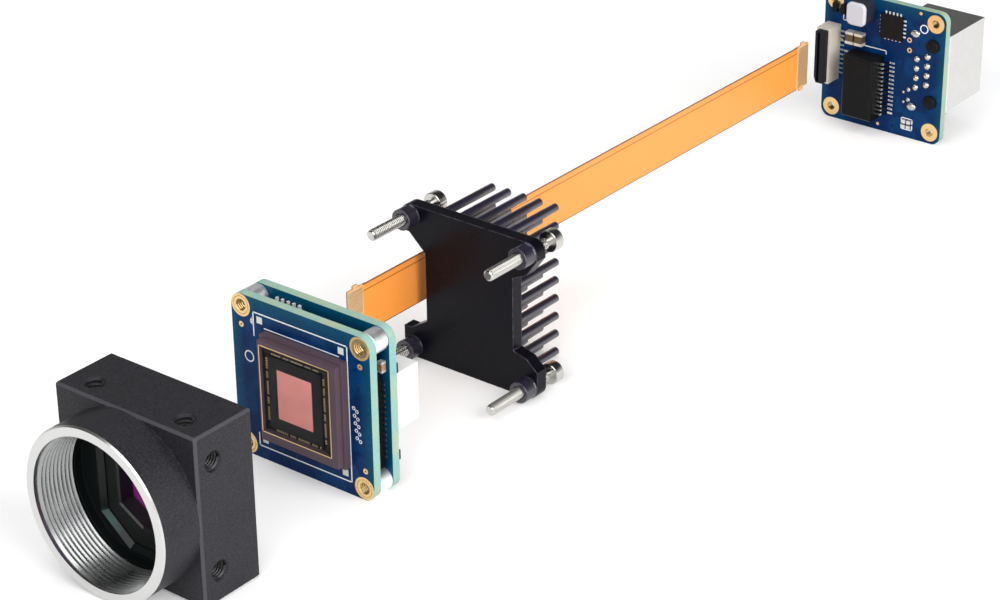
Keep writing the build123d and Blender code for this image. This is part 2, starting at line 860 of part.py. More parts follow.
# Interface board: corner holes, peg holes, contact holes and slots for the shield tabs
interface_z = interface_size / 2
contact_zs = [jack_z + offset_z for offset_z in evenly_spaced(contact_count, contact_pitch)]
contact_rows = [contact_near_row_y if index % 2 else contact_far_row_y
                for index in range(contact_count)]
contact_spots = list(zip(contact_rows, contact_zs))
shield_wall_z = jack_length / 2 - sheet_thickness / 2
ground = 0.0
with BuildPart() as interface_board:
    with BuildSketch(station(interface_x, 0.0, interface_z)):
        RectangleRounded(interface_size, interface_size, interface_corner)
        with GridLocations(interface_hole_spacing, interface_hole_spacing, 2, 2):
            Circle(interface_hole_radius, mode=Mode.SUBTRACT)
    extrude(amount=board_thickness)
    with BuildSketch(station(interface_x, 0.0, ground)):
        with Locations(*contact_spots):
            RegularPolygon(contact_hole_radius, solder_sides)
        with Locations((peg_y, jack_z - peg_spacing / 2), (peg_y, jack_z + peg_spacing / 2)):
            RegularPolygon(peg_radius + seat_clearance, small_round_sides)
        with Locations((jack_y, jack_z - shield_wall_z), (jack_y, jack_z + shield_wall_z)):
            Rectangle(tab_width + 2 * tab_slot_clearance, sheet_thickness + 2 * tab_slot_clearance)
    extrude(amount=board_thickness, mode=Mode.SUBTRACT)
interface_board.part.label = "interface_board"
export_step(interface_board.part, "parts/interface_board.step")

# Transformer and its two rows of gull-wing leads
transformer_top_rise = transformer_rise - transformer_gap
with BuildPart() as transformer:
    with BuildSketch(facing_lens(interface_x - transformer_gap, transformer_y, transformer_z)):
        Rectangle(transformer_width, transformer_length)
    extrude(amount=transformer_top_rise)
    chamfer(transformer.edges().group_by(Axis.X)[0], length=transformer_edge)
transformer.part.label = "transformer"
export_step(transformer.part, "parts/transformer.step")

lead_foot_x = interface_x - lead_thickness / 2
lead_exit_x = interface_x - lead_exit_rise
with BuildPart() as transformer_leads:
    for side in (-1, 1):
        wall_y = transformer_y + side * transformer_width / 2
        lead_line = [(lead_exit_x, wall_y), (lead_exit_x, wall_y + side * lead_shoulder),
                     (lead_foot_x, wall_y + side * (lead_shoulder + lead_lean)),
                     (lead_foot_x, wall_y + side * lead_reach)]
        for lead_z in evenly_spaced(lead_count, lead_pitch):
            with BuildSketch(Plane.XY.offset(transformer_z + lead_z - lead_width / 2)):
                Polygon(*strip_outline(lead_line, lead_thickness), align=None)
            extrude(amount=lead_width)
transformer_leads.part.label = "transformer_leads"
export_step(transformer_leads.part, "parts/transformer_leads.step")

# Power inductor: rounded square block
with BuildPart() as power_inductor:
    with BuildSketch(facing_lens(interface_x, inductor_y, inductor_z)):
        RectangleRounded(inductor_width, inductor_height, inductor_corner)
    extrude(amount=inductor_rise)
    chamfer(power_inductor.edges().group_by(Axis.X)[0], length=inductor_edge)
power_inductor.part.label = "power_inductor"
export_step(power_inductor.part, "parts/power_inductor.step")

# Power controller with leads on all four sides
with BuildPart() as controller_chip:
    with BuildSketch(facing_lens(interface_x, controller_y, controller_z)):
        Rectangle(controller_size, controller_size)
    extrude(amount=controller_rise)
controller_chip.part.label = "controller_chip"
export_step(controller_chip.part, "parts/controller_chip.step")

lead_row_spacing = controller_size + controller_lead_reach
with BuildPart() as controller_leads:
    with BuildSketch(facing_lens(interface_x, controller_y, controller_z)):
        with GridLocations(lead_row_spacing, controller_lead_pitch, 2, controller_lead_count):
            Rectangle(controller_lead_reach, controller_lead_width)
        with GridLocations(controller_lead_pitch, lead_row_spacing, controller_lead_count, 2):
            Rectangle(controller_lead_width, controller_lead_reach)
    extrude(amount=controller_lead_thickness)
controller_leads.part.label = "controller_leads"
export_step(controller_leads.part, "parts/controller_leads.step")

# Ceramic capacitors with end caps that stand slightly proud
with BuildPart() as ceramic_capacitors:
    with BuildSketch(facing_lens(interface_x, capacitor_y, capacitor_z)):
        with GridLocations(capacitor_pitch, 0, 2, 1):
            Rectangle(capacitor_width, capacitor_height)
    extrude(amount=capacitor_rise)
    with BuildSketch(facing_lens(interface_x, capacitor_y, capacitor_z)):
        with GridLocations(capacitor_pitch, capacitor_height - capacitor_cap_length, 2, 2):
            Rectangle(capacitor_width + 2 * capacitor_cap_proud, capacitor_cap_length)
    extrude(amount=capacitor_rise + capacitor_cap_proud)
ceramic_capacitors.part.label = "ceramic_capacitors"
export_step(ceramic_capacitors.part, "parts/ceramic_capacitors.step")

# Small chips in the far upper corner and two resistors near the lower edge
with BuildPart() as corner_chips:
    with BuildSketch(facing_lens(interface_x, corner_chip_y, corner_chip_z)):
        with GridLocations(corner_chip_pitch, 0, 2, 1):
            Rectangle(corner_chip_width, corner_chip_height)
    extrude(amount=corner_chip_rise)
corner_chips.part.label = "corner_chips"
export_step(corner_chips.part, "parts/corner_chips.step")

with BuildPart() as chip_resistors:
    with BuildSketch(facing_lens(interface_x, resistor_y, resistor_z)):
        with GridLocations(resistor_pitch, 0, 2, 1):
            Rectangle(resistor_width, resistor_height)
    extrude(amount=resistor_rise)
chip_resistors.part.label = "chip_resistors"
export_step(chip_resistors.part, "parts/chip_resistors.step")

# Jack shield: folded sheet box, open to the board, with a window for the plug
with BuildPart() as jack_shield:
    with BuildSketch(station(interface_rear_x, jack_y, jack_z)):
        Rectangle(jack_width, jack_length)
    extrude(amount=jack_rise)
    with BuildSketch(station(interface_rear_x, jack_y, jack_z)):
        Rectangle(jack_width - 2 * sheet_thickness, jack_length - 2 * sheet_thickness)
    extrude(amount=jack_rise - sheet_thickness, mode=Mode.SUBTRACT)
    with BuildSketch(station(interface_rear_x, plug_y, jack_z)):
        Rectangle(plug_width, plug_length)
        with Locations(((plug_width + latch_width) / 2, 0)):
            Rectangle(latch_width, latch_length)
    extrude(amount=jack_rise, mode=Mode.SUBTRACT)
    for side in (-1, 1):
        with BuildSketch(station(interface_rear_x, jack_y, jack_z + side * shield_wall_z)):
            Rectangle(tab_width, sheet_thickness)
        extrude(amount=-tab_reach)
jack_shield.part.label = "jack_shield"
export_step(jack_shield.part, "parts/jack_shield.step")

# Jack insert: plug cavity with a stepped latch channel, slots for the contacts, two pegs
insert_rise = jack_rise - sheet_thickness - seat_clearance
insert_width = jack_width - 2 * (sheet_thickness + seat_clearance)
insert_length = jack_length - 2 * (sheet_thickness + seat_clearance)
cavity_x = interface_rear_x + jack_rise - plug_depth
cavity_near_y = plug_y - plug_width / 2
slot_near_y = cavity_near_y - contact_slot_depth
channel_length = contact_far_row_y + contact_slot_width - slot_near_y
with BuildPart() as jack_insert:
    with BuildSketch(station(interface_rear_x, jack_y, jack_z)):
        Rectangle(insert_width, insert_length)
    extrude(amount=insert_rise)
    with BuildSketch(station(cavity_x, plug_y, jack_z)):
        Rectangle(plug_width, plug_length)
        with Locations(((plug_width + latch_width) / 2, 0)):
            Rectangle(latch_width, latch_length)
        with Locations(((plug_width + latch_width + latch_step_width) / 2, 0)):
            Rectangle(latch_width + latch_step_width, latch_step_length)
    extrude(amount=jack_rise, mode=Mode.SUBTRACT)
    with BuildSketch(station(interface_rear_x, slot_near_y, jack_z)):
        with Locations((contact_slot_depth / 2, 0)):
            with GridLocations(0, contact_pitch, 1, contact_count):
                Rectangle(contact_slot_depth, contact_slot_width)
    extrude(amount=contact_top_rise + contact_wall_gap, mode=Mode.SUBTRACT)
    with BuildSketch(station(interface_rear_x, slot_near_y, jack_z)):
        with Locations((channel_length / 2, 0)):
            with GridLocations(0, contact_pitch, 1, contact_count):
                Rectangle(channel_length, contact_slot_width)
    extrude(amount=contact_channel_rise, mode=Mode.SUBTRACT)
    with BuildSketch(station(interface_rear_x, peg_y, jack_z)):
        with GridLocations(0, peg_spacing, 1, 2):
            RegularPolygon(peg_radius, small_round_sides)
    extrude(amount=-peg_reach)
    chamfer(jack_insert.edges().group_by(Axis.X)[0], length=peg_edge)
jack_insert.part.label = "jack_insert"
export_step(jack_insert.part, "parts/jack_insert.step")

# Jack contacts: eight bent strips, soldered in two staggered rows
contact_run_y = slot_near_y + contact_wall_gap + contact_thickness / 2
bend_x = interface_rear_x + contact_bend_rise
tail_x = interface_rear_x - contact_tail
top_x = interface_rear_x + contact_top_rise
tip_x = interface_rear_x + contact_tip_rise
with BuildPart() as jack_contacts:
    for row_y, contact_z in contact_spots:
        contact_line = [(tail_x, row_y), (bend_x, row_y), (bend_x, contact_run_y),
                        (top_x, contact_run_y), (top_x, contact_run_y + contact_crown),
                        (tip_x, contact_run_y + contact_tip_reach)]
        with BuildSketch(Plane.XY.offset(contact_z - contact_width / 2)):
            Polygon(*strip_outline(contact_line, contact_thickness), align=None)
        extrude(amount=contact_width)
jack_contacts.part.label = "jack_contacts"
export_step(jack_contacts.part, "parts/jack_contacts.step")

# Solder on the front of the interface board, round the contact tails and the tabs
with BuildPart() as solder_joints:
    for row_y, contact_z in contact_spots:
        with BuildSketch(facing_lens(interface_x, row_y, contact_z)):
            RegularPolygon(solder_radius, solder_sides)
        with BuildSketch(facing_lens(interface_x - solder_height, row_y, contact_z)):
            RegularPolygon(solder_top_radius, solder_sides)
        loft()
    for side in (-1, 1):
        tab_z = jack_z + side * shield_wall_z
        with BuildSketch(facing_lens(interface_x, jack_y, tab_z)):
            Rectangle(tab_width + 2 * tab_solder_margin, sheet_thickness + 2 * tab_solder_margin)
        extrude(amount=tab_solder_height, taper=tab_solder_taper)
    with BuildSketch(facing_lens(interface_x, 0.0, ground)):
        with Locations(*[(row_y, -contact_z) for row_y, contact_z in contact_spots]):
            Rectangle(contact_thickness, contact_width)
        with Locations((jack_y, -(jack_z - shield_wall_z)), (jack_y, -(jack_z + shield_wall_z))):
            Rectangle(tab_width, sheet_thickness)
    extrude(amount=tab_reach, mode=Mode.SUBTRACT)
solder_joints.part.label = "solder_joints"
export_step(solder_joints.part, "parts/solder_joints.step")
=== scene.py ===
"""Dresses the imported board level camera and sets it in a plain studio.

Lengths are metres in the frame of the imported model: +X runs from the lens mount to the
network jack, +Y to the side of the flat cable and +Z up. The sizes of the pieces that are
added here are written in millimetres and turned into metres where they are used.
"""
import json
import logging
import math
from collections.abc import Sequence
from dataclasses import dataclass
from enum import Enum

import bmesh
import bpy
from mathutils import Matrix, Vector

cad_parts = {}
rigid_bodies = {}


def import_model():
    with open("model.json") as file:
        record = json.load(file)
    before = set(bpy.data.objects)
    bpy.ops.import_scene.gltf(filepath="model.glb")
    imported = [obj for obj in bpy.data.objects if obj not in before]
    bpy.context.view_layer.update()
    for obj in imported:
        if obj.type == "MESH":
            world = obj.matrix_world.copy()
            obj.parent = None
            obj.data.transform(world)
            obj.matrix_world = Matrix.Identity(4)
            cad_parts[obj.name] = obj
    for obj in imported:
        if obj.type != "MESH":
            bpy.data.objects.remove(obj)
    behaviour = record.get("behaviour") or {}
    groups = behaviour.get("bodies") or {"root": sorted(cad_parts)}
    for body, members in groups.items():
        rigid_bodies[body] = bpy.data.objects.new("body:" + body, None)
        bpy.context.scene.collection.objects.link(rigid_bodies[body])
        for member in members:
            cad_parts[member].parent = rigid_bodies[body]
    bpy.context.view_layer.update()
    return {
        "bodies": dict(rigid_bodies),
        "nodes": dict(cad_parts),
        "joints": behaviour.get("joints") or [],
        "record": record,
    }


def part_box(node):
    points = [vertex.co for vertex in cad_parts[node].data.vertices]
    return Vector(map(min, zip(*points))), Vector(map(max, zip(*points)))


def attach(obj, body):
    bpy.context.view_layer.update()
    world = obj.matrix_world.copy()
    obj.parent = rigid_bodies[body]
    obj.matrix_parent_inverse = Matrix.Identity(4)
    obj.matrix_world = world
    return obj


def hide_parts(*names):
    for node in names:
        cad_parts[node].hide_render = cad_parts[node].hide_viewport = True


MM = 0.001
# corner of a hexagon as a multiple of its inner radius
HEXAGON_CORNER = 1.1547
# degrees between two faces above which their edge is shaded sharp
SHARP_ANGLE = 32.0
LOG = logging.getLogger("board_camera")

Colour = tuple[float, float, float]
Spot = tuple[float, float]
Socket = bpy.types.NodeSocket


class Body(Enum):
    """Bodies that the new pieces ride on."""

    LENS = "lens_housing"
    STACK = "sensor_stack"
    COOLER = "cooler"
    INTERFACE = "interface_module"


class Facing(Enum):
    """Which way a board's face looks along the optical axis."""

    LENS = -1
    JACK = 1


# Node trees


class Tree:
    """Short calls that build one node tree."""

    def __init__(self, tree: bpy.types.NodeTree) -> None:
        """Wraps a material's or a group's node tree."""
        self.tree = tree

    def feed(self, socket: Socket, value: object) -> None:
        """Links a socket or sets a plain value.

        Args:
            socket: the input to fill.
            value: an output socket to link, or a number, vector or colour.
        """
        if isinstance(value, bpy.types.NodeSocket):
            self.tree.links.new(value, socket)
        else:
            socket.default_value = value

    def node(self, kind: str, inputs: dict | None = None, **settings: object) -> bpy.types.Node:
        """Adds a node.

        Args:
            kind: the node's type name.
            inputs: values or sockets by input name or number.
            **settings: properties of the node.

        Returns:
            The new node.
        """
        made = self.tree.nodes.new(kind)
        for name, value in settings.items():
            setattr(made, name, value)
        for key, value in (inputs or {}).items():
            self.feed(made.inputs[key], value)
        return made

    def math(self, operation: str, *values: object, clamp: bool = False) -> Socket:
        """Result of one Math node on the given values."""
        inputs = dict(enumerate(values))
        return self.node("ShaderNodeMath", inputs, operation=operation, use_clamp=clamp).outputs[0]

    def find(self, kind: str) -> bpy.types.Node:
        """The tree's first node of a type."""
        return next(node for node in self.tree.nodes if node.type == kind)

    def add(self, first: object, second: object) -> Socket:
        """Sum of two values."""
        return self.math("ADD", first, second)

    def sub(self, first: object, second: object) -> Socket:
        """First value less the second."""
        return self.math("SUBTRACT", first, second)

    def mul(self, first: object, second: object) -> Socket:
        """Product of two values."""
        return self.math("MULTIPLY", first, second)

    def larger(self, first: object, second: object) -> Socket:
        """The larger of two values."""
        return self.math("MAXIMUM", first, second)

    def absolute(self, value: Socket) -> Socket:
        """A value without its sign."""
        return self.math("ABSOLUTE", value)

    def inverse(self, value: Socket) -> Socket:
        """1 less the value."""
        return self.math("SUBTRACT", 1.0, value)

    def reach(self, first: Socket, second: Socket) -> Socket:
        """Length of the two together, as of the sides of a right angle."""
        return self.math("SQRT", self.add(self.mul(first, first), self.mul(second, second)))

    def split(self, vector: Socket) -> tuple[Socket, Socket, Socket]:
        """The x, y and z of a vector."""
        parts = self.node("ShaderNodeSeparateXYZ", {0: vector})
        return parts.outputs[0], parts.outputs[1], parts.outputs[2]

    def position(self) -> Socket:
        """Object coordinates of the shaded point."""
        return self.node("ShaderNodeTexCoord").outputs["Object"]

    def centred(self, centre: Sequence[float]) -> Socket:
        """Object coordinates measured from a centre, in metres."""
        shift = self.node("ShaderNodeVectorMath", {0: self.position(), 1: tuple(centre)},
                          operation="SUBTRACT")
        return shift.outputs[0]

    def rise(self, value: Socket, low: float, high: float) -> Socket:
        """0 below low, 1 above high and even between."""
        made = self.node("ShaderNodeMapRange", {"Value": value, "From Min": low, "From Max": high})
        return made.outputs["Result"]

    def fall(self, value: Socket, low: float, high: float) -> Socket:
        """1 below low, 0 above high and even between."""
        return self.inverse(self.rise(value, low, high))

    def span(self, value: Socket, low: float, high: float, bottom: float, top: float) -> Socket:
        """Maps low..high to bottom..top, held at both ends."""
        made = self.node("ShaderNodeMapRange", {"Value": value, "From Min": low,
                                                "From Max": high, "To Min": bottom,
                                                "To Max": top})
        return made.outputs["Result"]

    def band(self, value: Socket, low: float, high: float, soft: float) -> Socket:
        """1 between low and high, falling to 0 over a soft edge."""
        up = self.rise(value, low - soft / 2, low + soft / 2)
        down = self.rise(value, high - soft / 2, high + soft / 2)
        return self.math("SUBTRACT", up, down, clamp=True)

    def noise(self, vector: Socket, scale: float, detail: float = 2.0,
              roughness: float = 0.5) -> Socket:
        """Smooth noise between 0 and 1."""
        made = self.node("ShaderNodeTexNoise", {"Vector": vector, "Scale": scale,
                                                "Detail": detail, "Roughness": roughness})
        return made.outputs[0]

    def blend(self, factor: object, first: object, second: object) -> Socket:
        """Mix of two colours."""
        made = self.node("ShaderNodeMix", {"Factor": factor}, data_type="RGBA")
        for index, value in ((6, first), (7, second)):
            if not isinstance(value, bpy.types.NodeSocket):
                value = (*value, 1.0)
            self.feed(made.inputs[index], value)
        return made.outputs[2]

    def shade(self, colour: object, tone: Socket) -> Socket:
        """A colour made darker or lighter by a grey tone."""
        made = self.node("ShaderNodeMix", {"Factor": 1.0}, data_type="RGBA", blend_type="MULTIPLY")
        value = colour if isinstance(colour, bpy.types.NodeSocket) else (*colour, 1.0)
        self.feed(made.inputs[6], value)
        self.feed(made.inputs[7], tone)
        return made.outputs[2]

    def lerp(self, factor: Socket, first: object, second: object) -> Socket:
        """Mix of two numbers."""
        made = self.node("ShaderNodeMix", {0: factor, 2: first, 3: second})
        return made.outputs[0]

    def bump(self, height: Socket, depth: float, strength: float = 1.0,
             normal: Socket | None = None) -> Socket:
        """Normal bent by a height of the given depth in metres."""
        made = self.node("ShaderNodeBump", {"Height": height, "Distance": depth,
                                            "Strength": strength})
        if normal is not None:
            self.feed(made.inputs["Normal"], normal)
        return made.outputs["Normal"]

    def group(self, group: bpy.types.NodeTree, inputs: dict) -> bpy.types.Node:
        """Places a node group with its own values."""
        made = self.tree.nodes.new("ShaderNodeGroup")
        made.node_tree = group
        for key, value in inputs.items():
            self.feed(made.inputs[key], value)
        return made


def node_group(name: str, inputs: dict[str, tuple[str, object]],
               outputs: dict[str, str]) -> tuple[Tree, bpy.types.Node, bpy.types.Node]:
    """Starts a shader node group with named sockets.

    Args:
        name: the group's name.
        inputs: socket type and default by name.
        outputs: socket type by name.

    Returns:
        The group's tree, its input node and its output node.
    """
    group = bpy.data.node_groups.new(name, "ShaderNodeTree")
    for label, (kind, value) in inputs.items():
        socket = group.interface.new_socket(name=label, in_out="INPUT", socket_type=kind)
        if value is not None:
            socket.default_value = value
    for label, kind in outputs.items():
        group.interface.new_socket(name=label, in_out="OUTPUT", socket_type=kind)
    tree = Tree(group)
    return tree, tree.node("NodeGroupInput"), tree.node("NodeGroupOutput")


FLOAT = "NodeSocketFloat"
VECTOR = "NodeSocketVector"


@dataclass(frozen=True)
class Effects:
    """Node groups that several finishes share."""

    grain: bpy.types.NodeTree
    smudge: bpy.types.NodeTree
    turned: bpy.types.NodeTree
    edge: bpy.types.NodeTree

    @classmethod
    def build(cls) -> "Effects":
        """Makes every group once."""
        return cls(cls.build_grain(), cls.build_smudge(), cls.build_turned(), cls.build_edge())

    def grained(self, tree: Tree, spot: Socket, scale: float, contrast: float) -> bpy.types.Node:
        """Places the fine grain in a material."""
        return tree.group(self.grain, {"Vector": spot, "Scale": scale, "Contrast": contrast})

    def glossed(self, tree: Tree, spot: Socket, scale: float, low: float,
                high: float) -> bpy.types.Node:
        """Places the change of gloss, from one roughness to another."""
        return tree.group(self.smudge, {"Vector": spot, "Scale": scale, "Low": low, "High": high})

    @staticmethod
    def build_grain() -> bpy.types.NodeTree:
        """Fine random grain, as on blasted metal and moulded plastic."""
        tree, start, end = node_group(
            "fine_grain", {"Vector": (VECTOR, None), "Scale": (FLOAT, 4000.0),
                           "Contrast": (FLOAT, 0.2)},
            {"Height": FLOAT, "Tone": FLOAT})
        coarse = tree.noise(start.outputs["Vector"], start.outputs["Scale"], 3.0, 0.6)
        doubled = tree.mul(start.outputs["Scale"], 2.7)
        fine = tree.noise(start.outputs["Vector"], doubled, 1.0)
        height = tree.add(coarse, tree.mul(fine, 0.5))
        centred = tree.sub(coarse, 0.5)
        tone = tree.math("MULTIPLY_ADD", centred, start.outputs["Contrast"], 1.0)
        tree.feed(end.inputs["Height"], height)
        tree.feed(end.inputs["Tone"], tone)
        return tree.tree

    @staticmethod
    def build_smudge() -> bpy.types.NodeTree:
        """Broad changes of gloss, as handling leaves on a smooth surface."""
        tree, start, end = node_group(
            "gloss_change", {"Vector": (VECTOR, None), "Scale": (FLOAT, 150.0),
                             "Low": (FLOAT, 0.3), "High": (FLOAT, 0.4)},
            {"Roughness": FLOAT, "Mask": FLOAT})
        cloud = tree.noise(start.outputs["Vector"], start.outputs["Scale"], 4.0, 0.55)
        mask = tree.rise(cloud, 0.35, 0.65)
        spread = tree.sub(start.outputs["High"], start.outputs["Low"])
        tree.feed(end.inputs["Roughness"],
                  tree.math("MULTIPLY_ADD", mask, spread, start.outputs["Low"]))
        tree.feed(end.inputs["Mask"], mask)
        return tree.tree

    @staticmethod
    def build_turned() -> bpy.types.NodeTree:
        """Rings left by a lathe tool, round an axis along X through the vector's origin."""
        tree, start, end = node_group(
            "lathe_rings", {"Vector": (VECTOR, None), "Scale": (FLOAT, 6000.0),
                            "Contrast": (FLOAT, 0.2)},
            {"Height": FLOAT, "Tone": FLOAT})
        x, y, z = tree.split(start.outputs["Vector"])
        radius = tree.reach(y, z)
        line = tree.node("ShaderNodeCombineXYZ", {0: radius, 1: x, 2: 0.0}).outputs[0]
        rings = tree.noise(line, start.outputs["Scale"], 2.0, 0.7)
        centred = tree.sub(rings, 0.5)
        tree.feed(end.inputs["Height"], rings)
        tree.feed(end.inputs["Tone"],
                  tree.math("MULTIPLY_ADD", centred, start.outputs["Contrast"], 1.0))
        return tree.tree

    @staticmethod
    def build_edge() -> bpy.types.NodeTree:
        """Rounded edges as a normal, and a mask that is 1 on the edges themselves."""
        tree, start, end = node_group(
            "soft_edge", {"Radius": (FLOAT, 0.0001)}, {"Normal": VECTOR, "Mask": FLOAT})
        rounded = tree.node("ShaderNodeBevel", {"Radius": start.outputs["Radius"]},
                            samples=6).outputs[0]
        plain = tree.node("ShaderNodeNewGeometry").outputs["Normal"]
        turn = tree.node("ShaderNodeVectorMath", {0: rounded, 1: plain},
                         operation="DOT_PRODUCT").outputs["Value"]
        mask = tree.span(turn, 0.7, 0.995, 1.0, 0.0)
        tree.feed(end.inputs["Normal"], rounded)
        tree.feed(end.inputs["Mask"], mask)
        return tree.tree


# Finishes


@dataclass(frozen=True)
class Finish:
    """A surface finish that becomes one material."""

    name: str
    colour: Colour
    roughness: float

    def material(self, effects: Effects) -> bpy.types.Material:
        """The finish's material, made on first use.

        Args:
            effects: the shared node groups.

        Returns:
            The material.
        """
        name = f"{self.name}_finish"
        found = bpy.data.materials.get(name)
        if found is not None:
            return found
        made = bpy.data.materials.new(name)
        made.use_nodes = True
        made.diffuse_color = (*self.colour, 1.0)
        tree = Tree(made.node_tree)
        shader = tree.find("BSDF_PRINCIPLED")
        self.dress(tree, shader.inputs, effects)
        return made

    def dress(self, tree: Tree, inputs: bpy.types.NodeInputs, effects: Effects) -> None:
        """Fills the Principled shader's sockets; each finish has its own."""
        raise NotImplementedError


@dataclass(frozen=True)
class Plated(Finish):
    """Plated or bare metal with fine grain and soft edges."""

    grain_scale: float = 3500.0
    grain_depth: float = 2e-6
    spread: float = 0.08
    edge: float = 0.06e-3

    def dress(self, tree: Tree, inputs: bpy.types.NodeInputs, effects: Effects) -> None:
        """Metal colour, cloudy gloss and a fine bump."""
        spot = tree.position()
        grain = effects.grained(tree, spot, self.grain_scale, 0.16)
        gloss = effects.glossed(tree, spot, 700.0, self.roughness, self.roughness + self.spread)
        rounded = tree.group(effects.edge, {"Radius": self.edge})
        tree.feed(inputs["Base Color"], tree.shade(self.colour, grain.outputs["Tone"]))
        tree.feed(inputs["Roughness"], gloss.outputs["Roughness"])
        tree.feed(inputs["Metallic"], 1.0)
        tree.feed(inputs["Normal"], tree.bump(grain.outputs["Height"], self.grain_depth, 0.6,
                                              rounded.outputs["Normal"]))


@dataclass(frozen=True)
class ThreadedBore(Plated):
    """Plated metal with thread ridges across the X axis."""

    pitch: float = 0.4e-3
    ridge: float = 0.09e-3

    def dress(self, tree: Tree, inputs: bpy.types.NodeInputs, effects: Effects) -> None:
        """The plated surface with ridges along X in the bump."""
        super().dress(tree, inputs, effects)
        x, _, _ = tree.split(tree.position())
        wave = tree.math("SINE", tree.mul(x, 2 * math.pi / self.pitch))
        tree.feed(inputs["Normal"], tree.bump(wave, self.ridge, 1.0))


@dataclass(frozen=True)
class BentLead(Plated):
    """Tinned lead whose sloping middle lies in shade."""

    foot_x: float = 0.0
    shoulder_x: float = 0.0
    shaded: Colour = (0.045, 0.045, 0.05)

    def dress(self, tree: Tree, inputs: bpy.types.NodeInputs, effects: Effects) -> None:
        """The plated surface, dark between shoulder and foot."""
        super().dress(tree, inputs, effects)
        bright = inputs["Base Color"].links[0].from_socket
        x, _, _ = tree.split(tree.position())
        slope = tree.band(x, self.shoulder_x, self.foot_x, 0.05 * MM)
        tree.feed(inputs["Base Color"], tree.blend(slope, bright, self.shaded))


@dataclass(frozen=True)
class Turned(Finish):
    """Bright metal turned on a lathe round an axis along X."""

    centre: tuple[float, float, float] = (0.0, 0.0, 0.0)
    ring_scale: float = 9000.0
    ring_depth: float = 4e-6

    def dress(self, tree: Tree, inputs: bpy.types.NodeInputs, effects: Effects) -> None:
        """Metal colour with lathe rings in tone, gloss and bump."""
        spot = tree.centred(self.centre)
        rings = tree.group(effects.turned, {"Vector": spot, "Scale": self.ring_scale,
                                            "Contrast": 0.3})
        gloss = effects.glossed(tree, spot, 240.0, self.roughness, self.roughness + 0.1)
        tree.feed(inputs["Base Color"], tree.shade(self.colour, rings.outputs["Tone"]))
        tree.feed(inputs["Roughness"], gloss.outputs["Roughness"])
        tree.feed(inputs["Metallic"], 1.0)
        tree.feed(inputs["Normal"], tree.bump(rings.outputs["Height"], self.ring_depth, 0.5))


@dataclass(frozen=True)
class Anodised(Finish):
    """Dyed aluminium: smooth or bead blasted."""

    grain_scale: float = 2500.0
    grain_depth: float = 10e-6
    contrast: float = 0.5
    # colour of the painted highlight on the rounded edges
    edge_highlight_colour: Colour = (0.12, 0.12, 0.13)
    edge: float = 0.12e-3
    specular: float = 0.22

    def cover(self, tree: Tree, effects: Effects) -> tuple[Socket, Socket, Socket]:
        """Colour, roughness and normal of the anodised surface, with a painted highlight on its
        rounded edges.
        """
        spot = tree.position()
        grain = effects.grained(tree, spot, self.grain_scale, self.contrast)
        gloss = effects.glossed(tree, spot, 130.0, self.roughness - 0.04, self.roughness + 0.05)
        rounded = tree.group(effects.edge, {"Radius": self.edge})
        coloured_surface = tree.shade(self.colour, grain.outputs["Tone"])
        # Painted highlight: a lighter colour on the rounded edges, broken into patches by noise.
        painted_edge_highlight = tree.mul(rounded.outputs["Mask"], tree.rise(tree.noise(spot, 900.0, 3.0), 0.3, 0.7))
        colour = tree.blend(painted_edge_highlight, coloured_surface, self.edge_highlight_colour)
        normal = tree.bump(grain.outputs["Height"], self.grain_depth, 0.5,
                           rounded.outputs["Normal"])
        return colour, gloss.outputs["Roughness"], normal

    def dress(self, tree: Tree, inputs: bpy.types.NodeInputs, effects: Effects) -> None:
        """The anodised surface all over, painted edge highlight included."""
        colour, roughness, normal = self.cover(tree, effects)
        tree.feed(inputs["Base Color"], colour)
        tree.feed(inputs["Roughness"], roughness)
        tree.feed(inputs["Normal"], normal)
        tree.feed(inputs["Specular IOR Level"], self.specular)


